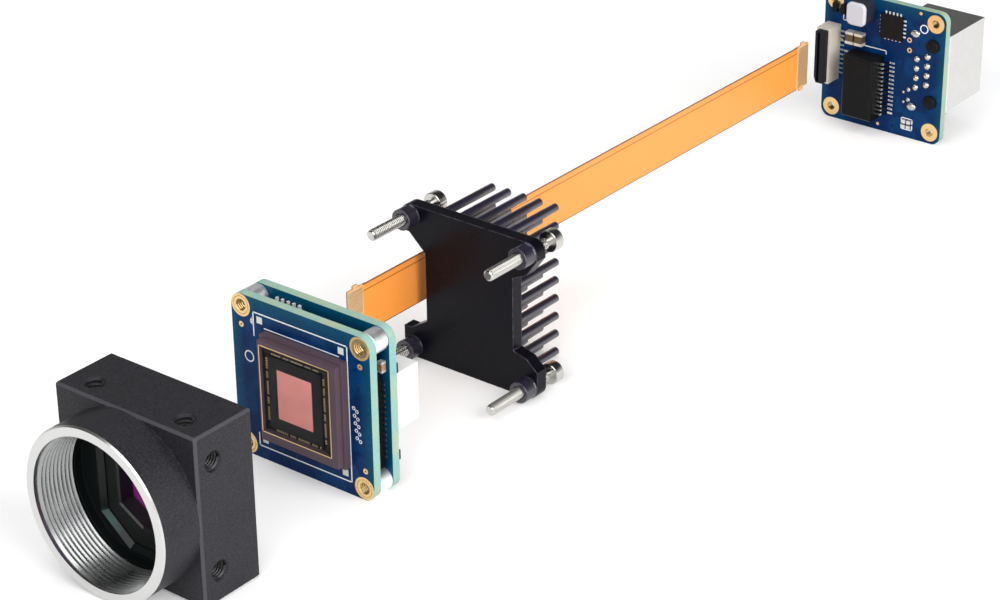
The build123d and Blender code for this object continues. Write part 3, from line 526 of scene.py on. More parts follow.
@dataclass(frozen=True)
class MountBody(Anodised):
    """Blasted black housing whose lens ring is turned bare after the dyeing."""

    axis_height: float = 0.0145
    face_end_x: float = -0.01312
    thread_end_x: float = -0.0055
    thread_radius: float = 0.0127
    bare: Colour = (0.63, 0.63, 0.62)
    # near black colour of the painted shade in the bore, the screw holes and the rear recess
    bore: Colour = (0.005, 0.007, 0.007)
    # lighter colour of the painted highlight on the block's chamfers
    chamfer_highlight: Colour = (0.055, 0.055, 0.063)
    # colour of the painted teal reflection on the window's bevel
    glint: Colour = (0.016, 0.15, 0.13)
    block_front_x: float = -0.006
    floor_x: float = -0.004
    bevel_depth: float = 0.85e-3
    glint_y: Spot = (4.8e-3, 7.4e-3)
    glint_z: Spot = (-9.0e-3, -6.0e-3)
    glint_strength: float = 0.8
    chamfer: float = 0.42e-3
    wall_depth: float = 0.5e-3

    def dress(self, tree: Tree, inputs: bpy.types.NodeInputs, effects: Effects) -> None:
        """Dyed outside, bare front ring and thread wall, glossier bore; painted shade blackens the
        bore, screw holes and rear recess, the chamfers carry a painted highlight and the window's
        bevel a painted teal reflection.
        """
        colour, roughness, normal = self.cover(tree, effects)
        spot = tree.centred((0.0, 0.0, self.axis_height))
        x, y, z = tree.split(spot)
        radius = tree.reach(y, z)
        soft = 0.04 * MM
        face = tree.fall(x, self.face_end_x - soft, self.face_end_x)
        inside = tree.fall(radius, self.thread_radius + soft, self.thread_radius + 2 * soft)
        wall = tree.mul(inside, tree.fall(x, self.thread_end_x - 2 * soft,
                                          self.thread_end_x - soft))
        bright = tree.larger(face, wall)
        depth = tree.mul(inside, tree.rise(x, self.thread_end_x - soft, self.thread_end_x))
        bore = tree.mul(depth, tree.fall(x, 0.0, soft))
        rings = tree.group(effects.turned, {"Vector": spot, "Scale": 8000.0, "Contrast": 0.25})
        # Painted shade: the bore, the screw holes and the rear recess turn near black; the
        # chamfers take a lighter colour as a painted highlight.
        shaded_hollows = tree.larger(bore, self.interior(tree, x, y, z))
        coloured_surface = tree.blend(shaded_hollows, tree.blend(self.chamfers(tree, x), colour,
                                           self.chamfer_highlight), self.bore)
        # Painted reflection: teal in a band at the depth of the window's bevel, towards +Y and
        # below the axis.
        bevel = tree.band(x, self.floor_x + 2 * soft, self.floor_x + self.bevel_depth, soft)
        corner = tree.mul(tree.rise(y, *self.glint_y), tree.fall(z, *self.glint_z))
        coloured_surface = tree.blend(tree.mul(tree.mul(bevel, corner), self.glint_strength), coloured_surface, self.glint)
        tree.feed(inputs["Base Color"],
                  tree.blend(bright, coloured_surface, tree.shade(self.bare, rings.outputs["Tone"])))
        dull = tree.lerp(bore, roughness, 0.3)
        tree.feed(inputs["Roughness"], tree.lerp(bright, dull, 0.3))
        tree.feed(inputs["Metallic"], bright)
        tree.feed(inputs["Specular IOR Level"], self.specular)
        turned = tree.bump(rings.outputs["Height"], 3e-6, 0.5)
        mixed = tree.node("ShaderNodeMix", {"Factor": bright}, data_type="VECTOR")
        tree.feed(mixed.inputs[4], normal)
        tree.feed(mixed.inputs[5], turned)
        tree.feed(inputs["Normal"], mixed.outputs[1])

    def interior(self, tree: Tree, x: Socket, y: Socket, z: Socket) -> Socket:
        """Mask of the walls within the block: screw holes and rear recess."""
        reaches = ((x, -self.block_front_x), (y, self.axis_height), (z, self.axis_height))
        soft = 0.05 * MM
        masks = [tree.fall(tree.absolute(value), reach - self.wall_depth - soft,
                           reach - self.wall_depth + soft) for value, reach in reaches]
        return tree.mul(masks[0], tree.mul(masks[1], masks[2]))

    def chamfers(self, tree: Tree, x: Socket) -> Socket:
        """Mask of the chamfers along the edges of the square block."""
        _, y, z = tree.split(tree.centred((0.0, 0.0, self.axis_height)))
        soft = 0.03 * MM
        start = self.axis_height - self.chamfer
        near_ends = [tree.rise(tree.absolute(value), start, start + soft) for value in (y, z)]
        start = -self.block_front_x - self.chamfer
        ends = tree.rise(tree.absolute(x), start, start + soft)
        block = tree.rise(x, self.block_front_x - 0.02 * MM, self.block_front_x)
        count = tree.add(ends, tree.add(*near_ends))
        return tree.mul(tree.rise(count, 1.4, 1.6), block)


@dataclass(frozen=True)
class Moulded(Finish):
    """Moulded plastic or epoxy."""

    grain_scale: float = 2600.0
    grain_depth: float = 5e-6
    contrast: float = 0.3
    specular: float = 0.3
    edge: float = 0.08e-3
    glow: float = 0.0

    def dress(self, tree: Tree, inputs: bpy.types.NodeInputs, effects: Effects) -> None:
        """Plastic colour with moulded grain, cloudy gloss and soft edges."""
        spot = tree.position()
        grain = effects.grained(tree, spot, self.grain_scale, self.contrast)
        gloss = effects.glossed(tree, spot, 320.0, self.roughness - 0.05, self.roughness + 0.06)
        rounded = tree.group(effects.edge, {"Radius": self.edge})
        tree.feed(inputs["Base Color"], tree.shade(self.colour, grain.outputs["Tone"]))
        tree.feed(inputs["Roughness"], gloss.outputs["Roughness"])
        tree.feed(inputs["Specular IOR Level"], self.specular)
        tree.feed(inputs["Subsurface Weight"], self.glow)
        tree.feed(inputs["Subsurface Radius"], (0.001, 0.0008, 0.0006))
        tree.feed(inputs["Subsurface Scale"], 0.5)
        tree.feed(inputs["Normal"], tree.bump(grain.outputs["Height"], self.grain_depth, 0.5,
                                              rounded.outputs["Normal"]))


@dataclass(frozen=True)
class SolderMask(Finish):
    """Glossy solder mask over copper tracks, with the laminate bare on the cut edges."""

    track_colour: Colour = (0.002, 0.036, 0.128)
    rim_colour: Colour = (0.002, 0.092, 0.15)
    laminate: Colour = (0.22, 0.43, 0.42)
    laminate_warm: Colour = (0.40, 0.46, 0.28)
    half_width: float = 0.0145
    height: float = 0.029
    land_at: float = 0.0
    land_outer: float = 0.0
    insert_outer: float = 0.00155
    side_rim: Spot = (2.4e-3, 0.2e-3)
    top_rim: Spot = (4.0e-3, 0.5e-3)
    rim_strength: float = 0.6
    layer_pitch: float = 0.36e-3
    via_radii: Spot = (0.17e-3, 0.5e-3)
    cell_scale: float = 230.0
    cell_swing: float = 5.2
    specular: float = 0.08
    pad_at: Spot = (0.0, 0.0)
    pad_half: float = 0.0
    vias: tuple[Spot, ...] = ()
    gold: Colour = (0.84, 0.58, 0.25)
    tin: Colour = (0.70, 0.71, 0.66)

    def reach(self, tree: Tree, y: Socket, z: Socket, spot: Spot) -> Socket:
        """Distance of the shaded point from a spot on the board's face."""
        return tree.reach(tree.sub(y, spot[0]), tree.sub(z, spot[1]))

    def lands(self, tree: Tree, y: Socket, z: Socket) -> Socket:
        """Mask of the gold rings round the corner holes and of the vias."""
        middle = self.height / 2
        across = tree.absolute(y)
        up = tree.absolute(tree.sub(z, middle))
        away = self.reach(tree, across, up, (self.land_at, self.land_at))
        mask = tree.band(away, self.insert_outer, self.land_outer, 0.04 * MM)
        for via in self.vias:
            ring = tree.band(self.reach(tree, y, z, via), *self.via_radii, 0.04 * MM)
            mask = tree.larger(mask, ring)
        return mask

    def pads(self, tree: Tree, y: Socket, z: Socket) -> Socket:
        """Mask of the four tinned squares."""
        across = tree.absolute(y)
        up = tree.absolute(tree.sub(z, self.height / 2))
        masks = [tree.band(value, at - self.pad_half, at + self.pad_half, 0.03 * MM)
                 for value, at in ((across, self.pad_at[0]), (up, self.pad_at[1]))]
        return tree.mul(*masks)

    def tracks(self, tree: Tree, spot: Socket) -> Socket:
        """Mask of copper tracks: stepped lines along and across the board."""
        _, y, z = tree.split(spot)
        flat = tree.node("ShaderNodeCombineXYZ", {0: y, 1: z, 2: 0.0}).outputs[0]
        cells = tree.node("ShaderNodeTexVoronoi", {"Vector": flat, "Scale": self.cell_scale,
                                                   "Randomness": 0.8},
                          voronoi_dimensions="2D", distance="CHEBYCHEV", feature="F1")
        swing = tree.math("SINE", tree.mul(cells.outputs["Distance"], self.cell_swing))
        lines = tree.rise(swing, 0.25, 0.55)
        patches = tree.rise(tree.noise(flat, 160.0, 1.0), 0.48, 0.56)
        return tree.mul(lines, patches)

    def dress(self, tree: Tree, inputs: bpy.types.NodeInputs, effects: Effects) -> None:
        """Blue mask over tracks on both faces, fibre layers on the edges."""
        spot = tree.position()
        coordinates = tree.node("ShaderNodeTexCoord")
        facing, _, _ = tree.split(coordinates.outputs["Normal"])
        edge = tree.inverse(tree.rise(tree.absolute(facing), 0.4, 0.6))
        tracks = self.tracks(tree, spot)
        grain = effects.grained(tree, spot, 1500.0, 0.25)
        x, y, z = tree.split(spot)
        side_start, side_end = self.side_rim
        sides = tree.rise(tree.absolute(y), self.half_width - side_start,
                          self.half_width - side_end)
        top_start, top_end = self.top_rim
        top = tree.rise(z, self.height - top_start, self.height - top_end)
        rim = tree.mul(tree.larger(sides, top), self.rim_strength)
        mask = tree.blend(rim, tree.blend(tracks, self.colour, self.track_colour), self.rim_colour)
        layers = tree.math("SINE", tree.mul(x, 2 * math.pi / self.layer_pitch))
        warm = tree.rise(tree.math("MULTIPLY_ADD", layers, 0.12,
                                   tree.noise(spot, 120.0, 3.0, 0.6)), 0.4, 0.7)
        fibres = tree.blend(warm, self.laminate, self.laminate_warm)
        surface = tree.blend(edge, mask, fibres)
        if self.land_outer:
            face = tree.inverse(edge)
            gold = tree.mul(face, self.lands(tree, y, z))
            tin = tree.mul(face, self.pads(tree, y, z))
            surface = tree.blend(tin, tree.blend(gold, surface, self.gold), self.tin)
            tree.feed(inputs["Metallic"], tree.mul(gold, 0.6))
        tree.feed(inputs["Base Color"], tree.shade(surface, grain.outputs["Tone"]))
        gloss = effects.glossed(tree, spot, 260.0, self.roughness - 0.03, self.roughness + 0.07)
        tree.feed(inputs["Roughness"], tree.lerp(edge, gloss.outputs["Roughness"], 0.55))
        height = tree.add(tree.mul(tracks, 0.6), tree.mul(grain.outputs["Height"], 0.15))
        tree.feed(inputs["Normal"], tree.bump(height, 6e-6, 0.4))
        tree.feed(inputs["Specular IOR Level"], self.specular)


@dataclass(frozen=True)
class Ink(Finish):
    """Printed white ink with slightly uneven cover."""

    def dress(self, tree: Tree, inputs: bpy.types.NodeInputs, effects: Effects) -> None:
        """Ink colour that thins in small patches."""
        spot = tree.position()
        grain = effects.grained(tree, spot, 2200.0, 0.5)
        tree.feed(inputs["Base Color"], tree.shade(self.colour, grain.outputs["Tone"]))
        gloss = effects.glossed(tree, spot, 400.0, self.roughness, self.roughness + 0.1)
        tree.feed(inputs["Roughness"], gloss.outputs["Roughness"])


@dataclass(frozen=True)
class SensorFace(Finish):
    """Silicon with a salmon imaging field inside a black border."""

    field_low: Spot = (0.0, 0.0)
    field_high: Spot = (0.0, 0.0)
    field_colour: Colour = (0.95, 0.36, 0.32)

    def dress(self, tree: Tree, inputs: bpy.types.NodeInputs, effects: Effects) -> None:
        """Imaging field by place, with a fine pixel sheen."""
        spot = tree.position()
        _, y, z = tree.split(spot)
        soft = 0.03 * MM
        field = tree.mul(tree.band(y, self.field_low[0], self.field_high[0], soft),
                         tree.band(z, self.field_low[1], self.field_high[1], soft))
        grain = effects.grained(tree, spot, 5000.0, 0.1)
        sheen = tree.rise(tree.noise(spot, 60.0, 1.0), 0.3, 0.7)
        lit = tree.blend(sheen, self.field_colour, tuple(0.9 * part for part in self.field_colour))
        tree.feed(inputs["Base Color"], tree.shade(tree.blend(field, self.colour, lit),
                                                   grain.outputs["Tone"]))
        tree.feed(inputs["Roughness"], tree.lerp(field, self.roughness, 0.4))
        tree.feed(inputs["Specular IOR Level"], 0.15)


@dataclass(frozen=True)
class ClearGlass(Finish):
    """Thin clear glass."""

    cover: float = 0.1

    def dress(self, tree: Tree, inputs: bpy.types.NodeInputs, effects: Effects) -> None:
        """Mostly open glass with faint marks."""
        spot = tree.position()
        gloss = effects.glossed(tree, spot, 300.0, self.roughness, self.roughness + 0.05)
        tree.feed(inputs["Base Color"], (*self.colour, 1.0))
        tree.feed(inputs["Roughness"], gloss.outputs["Roughness"])
        tree.feed(inputs["Alpha"], tree.span(gloss.outputs["Mask"], 0.0, 1.0,
                                             self.cover, self.cover + 0.03))


@dataclass(frozen=True)
class CoatedGlass(Finish):
    """Infrared filter with a violet coating, a painted reflection that turns magenta lower down
    and a painted teal highlight spot.
    """

    low: Spot = (0.0, 0.0)
    high: Spot = (0.0, 0.0)
    # tint of the painted reflection lower on the pane
    magenta: Colour = (0.36, 0.006, 0.15)
    # colour of the painted teal highlight
    teal: Colour = (0.10, 0.30, 0.32)
    glint_at: Spot = (-1.4e-3, 7.4e-3)
    glint_radii: Spot = (0.2e-3, 2.2e-3)
    glint_strength: float = 0.55

    def dress(self, tree: Tree, inputs: bpy.types.NodeInputs, effects: Effects) -> None:
        """Coating colour and painted reflection laid over the pane from top to bottom, with a
        painted teal highlight.
        """
        spot = tree.position()
        _, _, z = tree.split(spot)
        cloud = tree.noise(spot, 90.0, 2.0)
        # Painted reflection: the pane turns from violet at the top to magenta at the bottom.
        height = tree.rise(z, self.low[1], self.high[1])
        lean = tree.math("MULTIPLY_ADD", tree.sub(cloud, 0.5), 0.35, height)
        body = tree.blend(tree.rise(lean, 0.1, 0.44), self.magenta, self.colour)
        # Painted highlight: a teal spot on the pane.
        middle = (self.low[0] + self.high[0]) / 2
        _, near_y, near_z = tree.split(tree.centred((0.0, middle + self.glint_at[0],
                                                     self.low[1] + self.glint_at[1])))
        glint = tree.span(tree.reach(near_y, near_z), *self.glint_radii, self.glint_strength,
                          0.0)
        tree.feed(inputs["Base Color"], tree.blend(glint, body, self.teal))
        tree.feed(inputs["Roughness"], self.roughness)
        tree.feed(inputs["Coat Weight"], 1.0)
        tree.feed(inputs["Coat Roughness"], 0.03)
        tree.feed(inputs["Alpha"], tree.span(cloud, 0.0, 1.0, 0.9, 0.98))


@dataclass(frozen=True)
class CableFilm(Finish):
    """Orange film over long copper tracks."""

    centre: Spot = (0.0, 0.0)
    half_width: float = 0.0046
    ends: Spot = (0.0, 0.0)
    finger_length: float = 0.0036
    dark: Colour = (0.60, 0.15, 0.012)
    rim: Colour = (0.10, 0.05, 0.03)
    cream: Colour = (0.84, 0.46, 0.20)
    track_pitch: float = 0.5e-3
    line_inset: float = 1.25e-3
    line_half: float = 0.09e-3
    border: Spot = (0.26e-3, 0.12e-3)

    def dress(self, tree: Tree, inputs: bpy.types.NodeInputs, effects: Effects) -> None:
        """Tracks along the strip, a dark line near the top edge and bare cream ends."""
        spot = tree.position()
        x, _, z = tree.split(spot)
        up = tree.sub(z, self.centre[1])
        wave = tree.math("SINE", tree.mul(up, 2 * math.pi / self.track_pitch))
        cloud = tree.noise(spot, 45.0, 2.0)
        tracks = tree.mul(tree.rise(wave, 0.0, 0.9), tree.span(cloud, 0.35, 0.65, 0.02, 0.09))
        film = tree.blend(tracks, self.colour, self.dark)
        line_at = self.half_width - self.line_inset
        line = tree.band(up, line_at - self.line_half, line_at + self.line_half, 0.06 * MM)
        lined = tree.blend(line, film, tuple(0.5 * part for part in self.dark))
        start, end = self.border
        border = tree.rise(tree.absolute(up), self.half_width - start, self.half_width - end)
        edged = tree.blend(tree.mul(border, 0.85), lined, self.rim)
        low, high = self.ends
        middle = tree.band(x, low + self.finger_length, high - self.finger_length, 0.08 * MM)
        bare = tree.blend(tree.rise(tree.noise(spot, 500.0, 2.0), 0.3, 0.7), self.cream,
                          tuple(0.85 * part for part in self.cream))
        tree.feed(inputs["Base Color"], tree.blend(middle, bare, edged))
        tree.feed(inputs["Roughness"], tree.span(cloud, 0.3, 0.7, self.roughness,
                                                 self.roughness + 0.1))
        tree.feed(inputs["Normal"], tree.bump(wave, 2e-6, 0.2))
        tree.feed(inputs["Specular IOR Level"], 0.5)


@dataclass(frozen=True)
class Tray(Moulded):
    """Ceramic tray whose inside, within a box, is dark."""

    low: tuple[float, float, float] = (0.0, 0.0, 0.0)
    high: tuple[float, float, float] = (0.0, 0.0, 0.0)
    inside: Colour = (0.012, 0.008, 0.008)

    def dress(self, tree: Tree, inputs: bpy.types.NodeInputs, effects: Effects) -> None:
        """The moulded surface, darkened inside the box."""
        super().dress(tree, inputs, effects)
        outside = inputs["Base Color"].links[0].from_socket
        soft = 0.02 * MM
        x, y, z = tree.split(tree.position())
        across = tree.mul(tree.band(y, self.low[1], self.high[1], soft),
                          tree.band(z, self.low[2], self.high[2], soft))
        within = tree.mul(across, tree.rise(x, self.low[0], self.low[0] + soft))
        tree.feed(inputs["Base Color"], tree.blend(within, outside, self.inside))


@dataclass(frozen=True)
class TopPlate(Moulded):
    """Dark block whose face towards the lens is a pale plate."""

    plate_end_x: float = 0.0
    plate: Colour = (0.56, 0.56, 0.61)

    def dress(self, tree: Tree, inputs: bpy.types.NodeInputs, effects: Effects) -> None:
        """The moulded surface with the plate's colour in front of its end."""
        super().dress(tree, inputs, effects)
        block = inputs["Base Color"].links[0].from_socket
        x, _, _ = tree.split(tree.position())
        soft = 0.02 * MM
        front = tree.fall(x, self.plate_end_x - soft, self.plate_end_x + soft)
        tree.feed(inputs["Base Color"], tree.blend(front, block, self.plate))


@dataclass(frozen=True)
class CappedCeramic(Finish):
    """Chip parts along Z: ceramic in the middle, tinned caps at both ends."""

    centre_z: float = 0.0
    half_length: float = 0.0013
    cap_length: float = 0.0005
    tin: Colour = (0.70, 0.69, 0.66)

    @classmethod
    def over(cls, node: str, name: str, colour: Colour, roughness: float,
             cap: float) -> "CappedCeramic":
        """Fits the finish to a node's height.

        Args:
            node: name of the CAD node.
            name: name of the finish.
            colour: colour of the ceramic.
            roughness: roughness of the ceramic.
            cap: length of the tinned caps, in millimetres.

        Returns:
            The finish.
        """
        low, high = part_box(node)
        return cls(name, colour, roughness, (low.z + high.z) / 2, (high.z - low.z) / 2, cap * MM)

    def dress(self, tree: Tree, inputs: bpy.types.NodeInputs, effects: Effects) -> None:
        """Caps by their distance from the middle."""
        spot = tree.position()
        _, _, z = tree.split(spot)
        away = tree.absolute(tree.sub(z, self.centre_z))
        edge = self.half_length - self.cap_length
        caps = tree.rise(away, edge - 0.02 * MM, edge + 0.02 * MM)
        grain = effects.grained(tree, spot, 3000.0, 0.3)
        tree.feed(inputs["Base Color"], tree.shade(tree.blend(caps, self.colour, self.tin),
                                                   grain.outputs["Tone"]))
        tree.feed(inputs["Metallic"], tree.mul(caps, 0.5))
        tree.feed(inputs["Roughness"], tree.lerp(caps, self.roughness, 0.32))


# Mesh work


def mesh_object(name: str, mesh: bmesh.types.BMesh) -> bpy.types.Object:
    """Turns a finished mesh into an object of the scene."""
    data = bpy.data.meshes.new(name)
    mesh.to_mesh(data)
    mesh.free()
    made = bpy.data.objects.new(name, data)
    bpy.context.scene.collection.objects.link(made)
    return made


class Piece:
    """One new mesh, built with bmesh operators in place and finished as an object."""

    def __init__(self, name: str) -> None:
        """Starts an empty mesh."""
        self.name = name
        self.mesh = bmesh.new()

    def block(self, low: Sequence[float], high: Sequence[float]) -> None:
        """Adds a box from its lowest to its highest corner."""
        low, high = Vector(low), Vector(high)
        made = bmesh.ops.create_cube(self.mesh, size=1.0)["verts"]
        bmesh.ops.scale(self.mesh, vec=high - low, verts=made)
        bmesh.ops.translate(self.mesh, vec=(low + high) / 2, verts=made)

    def turned(self, profile: Sequence[Spot], centre: Sequence[float], steps: int = 32,
               closed: bool = True, stretch: float = 1.0) -> None:
        """Adds a solid of revolution round an axis along X.

        Args:
            profile: distance along X and radius of each corner, from the centre.
            centre: a point on the axis.
            steps: sides of the round.
            closed: whether the profile's last corner joins its first.
            stretch: how much wider the round is along Y than along Z.
        """
        centre = Vector(centre)
        older = len(self.mesh.verts)
        verts = [self.mesh.verts.new(centre + Vector((x, 0.0, radius))) for x, radius in profile]
        pairs = list(zip(verts, verts[1:]))
        if closed:
            pairs.append((verts[-1], verts[0]))
        edges = [self.mesh.edges.new(pair) for pair in pairs]
        bmesh.ops.spin(self.mesh, geom=verts + edges, cent=centre, axis=(1.0, 0.0, 0.0),
                       angle=math.tau, steps=steps, use_merge=True, use_duplicate=False)
        self.mesh.verts.ensure_lookup_table()
        for vert in self.mesh.verts[older:]:
            vert.co.y = centre.y + (vert.co.y - centre.y) * stretch

    def dome(self, centre: Sequence[float], radius: float, rise: float, steps: int = 20,
             stretch: float = 1.0, fullness: float = 1.0) -> None:
        """Adds a domed bead on a face that looks to the lens.

        Args:
            centre: the bead's middle on the face.
            radius: its radius on the face.
            rise: its height.
            steps: sides of the round.
            stretch: how much wider it is along Y than along Z.
            fullness: 1 for an even dome, more for a flatter top with steeper sides.
        """
        profile = [(0.0, radius)]
        for step in range(1, 7):
            angle = step * math.pi / 12
            profile.append((-rise * math.sin(angle) ** (1 / fullness), radius * math.cos(angle)))
        profile[-1] = (-rise, 0.0)
        self.turned(profile, centre, steps, closed=False, stretch=stretch)

    def helix(self, profile: Sequence[Spot], centre: Sequence[float], axis: Sequence[float],
              side: Sequence[float], pitch: float, turns: float, steps: int) -> None:
        """Adds a thread ridge by a screw sweep.

        Args:
            profile: distance along the axis and radius of each corner of the ridge.
            centre: where the sweep starts, on the axis.
            axis: direction of the sweep.
            side: direction across the axis in which the profile stands.
            pitch: rise of one turn.
            turns: how many turns.
            steps: sides of one turn.
        """
        centre, axis, side = Vector(centre), Vector(axis), Vector(side)
        verts = [self.mesh.verts.new(centre + axis * along + side * radius)
                 for along, radius in profile]
        edges = [self.mesh.edges.new(pair) for pair in zip(verts, verts[1:] + verts[:1])]
        count = round(turns * steps)
        bmesh.ops.spin(self.mesh, geom=verts + edges, cent=centre, axis=axis,
                       dvec=axis * (pitch / steps), angle=math.tau * count / steps, steps=count,
                       use_merge=False, use_duplicate=False)

    def ring(self, centre: Sequence[float], inner: float, outer: float, rise: float,
             facing: Facing, steps: int = 32) -> None:
        """Adds a flat ring that stands off a board's face by rise."""
        out = facing.value * rise
        edge = min(rise / 2, (outer - inner) / 4)
        self.turned([(0.0, inner), (out, inner), (out, outer - edge),
                     (out - facing.value * edge, outer), (0.0, outer)], centre, steps)

    def disc(self, centre: Sequence[float], radius: float, rise: float,
             facing: Facing, steps: int = 20) -> None:
        """Adds a flat disc that stands off a board's face by rise."""
        out = facing.value * rise
        self.turned([(0.0, 0.0), (out, 0.0), (out, radius * 0.92), (out * 0.5, radius),
                     (0.0, radius)], centre, steps)

    def bar(self, x: float, start: Spot, end: Spot, width: float, rise: float,
            facing: Facing) -> None:
        """Adds a straight printed line on a board's face.

        Args:
            x: the face.
            start: Y and Z of one end.
            end: Y and Z of the other end.
            width: the line's width.
            rise: how far it stands off the face.
            facing: which way the face looks.
        """
        first, last = Vector(start), Vector(end)
        run = last - first
        made = bmesh.ops.create_cube(self.mesh, size=1.0)["verts"]
        bmesh.ops.scale(self.mesh, vec=(rise, run.length + width, width), verts=made)
        angle = math.atan2(run.y, run.x)
        bmesh.ops.rotate(self.mesh, verts=made, cent=(0.0, 0.0, 0.0),
                         matrix=Matrix.Rotation(angle, 3, "X"))
        middle = (first + last) / 2
        bmesh.ops.translate(self.mesh, verts=made,
                            vec=(x + facing.value * rise / 2, middle.x, middle.y))

    def lines(self, x: float, points: Sequence[Spot], width: float, rise: float,
              facing: Facing) -> None:
        """Adds a run of printed lines through points given in millimetres."""
        for start, end in zip(points, points[1:]):
            self.bar(x, (start[0] * MM, start[1] * MM), (end[0] * MM, end[1] * MM), width, rise,
                     facing)

    def frame(self, x: float, low: Spot, high: Spot, width: float, rise: float,
              facing: Facing) -> None:
        """Adds a printed rectangle on a board's face."""
        corners = [(low[0], low[1]), (high[0], low[1]), (high[0], high[1]), (low[0], high[1])]
        for start, end in zip(corners, corners[1:] + corners[:1]):
            self.bar(x, start, end, width, rise, facing)

    def close(self) -> None:
        """Merges doubles, fills open ends and turns every face outwards."""
        bmesh.ops.remove_doubles(self.mesh, verts=self.mesh.verts, dist=1e-7)
        open_edges = [edge for edge in self.mesh.edges if edge.is_boundary]
        if open_edges:
            bmesh.ops.holes_fill(self.mesh, edges=open_edges, sides=0)
        bmesh.ops.recalc_face_normals(self.mesh, faces=self.mesh.faces)

    def finish(self, dresser: "Dresser", finish: Finish, slot: str, body: Body,
               replaced: Sequence[str] = ()) -> None:
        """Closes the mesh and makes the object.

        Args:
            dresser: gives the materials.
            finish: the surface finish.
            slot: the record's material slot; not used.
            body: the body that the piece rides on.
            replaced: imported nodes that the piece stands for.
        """
        self.close()
        made = mesh_object(self.name, self.mesh)
        data = made.data
        data.materials.append(finish.material(dresser.effects))
        data.shade_smooth()
        data.set_sharp_from_angle(angle=math.radians(SHARP_ANGLE))
        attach(made, body.value)
        if replaced:
            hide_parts(*replaced)
        LOG.info("%s: %d faces on %s", self.name, len(data.polygons), body.value)


class Dresser:
    """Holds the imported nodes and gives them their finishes."""

    def __init__(self, frame: dict) -> None:
        """Keeps the frame and builds the shared node groups."""
        self.nodes = frame["nodes"]
        self.effects = Effects.build()

    def dress(self, finish: Finish, *nodes: str) -> None:
        """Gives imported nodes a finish.

        Args:
            finish: the surface finish.
            *nodes: names of the nodes.
        """
        material = finish.material(self.effects)
        for name in nodes:
            data = self.nodes[name].data
            data.materials.clear()
            data.materials.append(material)
            LOG.info("%s dressed in %s", name, finish.name)


BRIGHT_STEEL = Plated("bright_tin_plate", (0.68, 0.68, 0.675), 0.26)
GOLD = Plated("gold_flash", (0.86, 0.60, 0.27), 0.28, grain_scale=4000.0, grain_depth=2e-6,
              spread=0.1, edge=0.04e-3)
SOLDER = Plated("shiny_solder", (0.50, 0.50, 0.51), 0.2, grain_scale=1500.0, grain_depth=8e-6,
                spread=0.1, edge=0.05e-3)
BLACK_PLASTIC = Moulded("black_moulding", (0.006, 0.006, 0.0065), 0.36, specular=0.1)
CREAM_PLASTIC = Moulded("cream_moulding", (0.62, 0.57, 0.49), 0.45, grain_scale=2600.0,
                        grain_depth=4e-6, contrast=0.12, specular=0.4, edge=0.08e-3, glow=0.1)
MILKY_PLASTIC = Moulded("milky_moulding", (0.78, 0.78, 0.765), 0.42, grain_scale=2600.0,
                        grain_depth=4e-6, contrast=0.12, specular=0.4, glow=0.3)
BOND_PADS = Moulded("bond_pads", (0.74, 0.56, 0.30), 0.3, grain_scale=2600.0, grain_depth=2e-6,
                    contrast=0.2)
LOCK_PLASTIC = Moulded("lock_moulding", (0.010, 0.010, 0.015), 0.38, specular=0.16)
CHIP_EPOXY = Moulded("chip_epoxy", (0.008, 0.008, 0.008), 0.45, grain_scale=3500.0,
                     grain_depth=8e-6, contrast=0.8, specular=0.1)
DIM_TIN = Plated("dim_tin", (0.34, 0.34, 0.35), 0.3)
PALE_PINS = Moulded("pale_tinned_pins", (0.74, 0.75, 0.74), 0.28, grain_scale=2600.0,
                    grain_depth=1e-6, contrast=0.1, specular=0.5)
WHITE_INK = Ink("white_print", (0.80, 0.82, 0.84), 0.45)
BOARD = SolderMask("blue_solder_mask", (0.001, 0.021, 0.092), 0.26)


# Sub-assemblies


def corner_spots(low: Vector, high: Vector, inset: float) -> list[Spot]:
    """Y and Z of the four spots that lie inset from the corners of a box, in metres."""
    return [(y, z) for y in (low.y + inset, high.y - inset)
            for z in (low.z + inset, high.z - inset)]


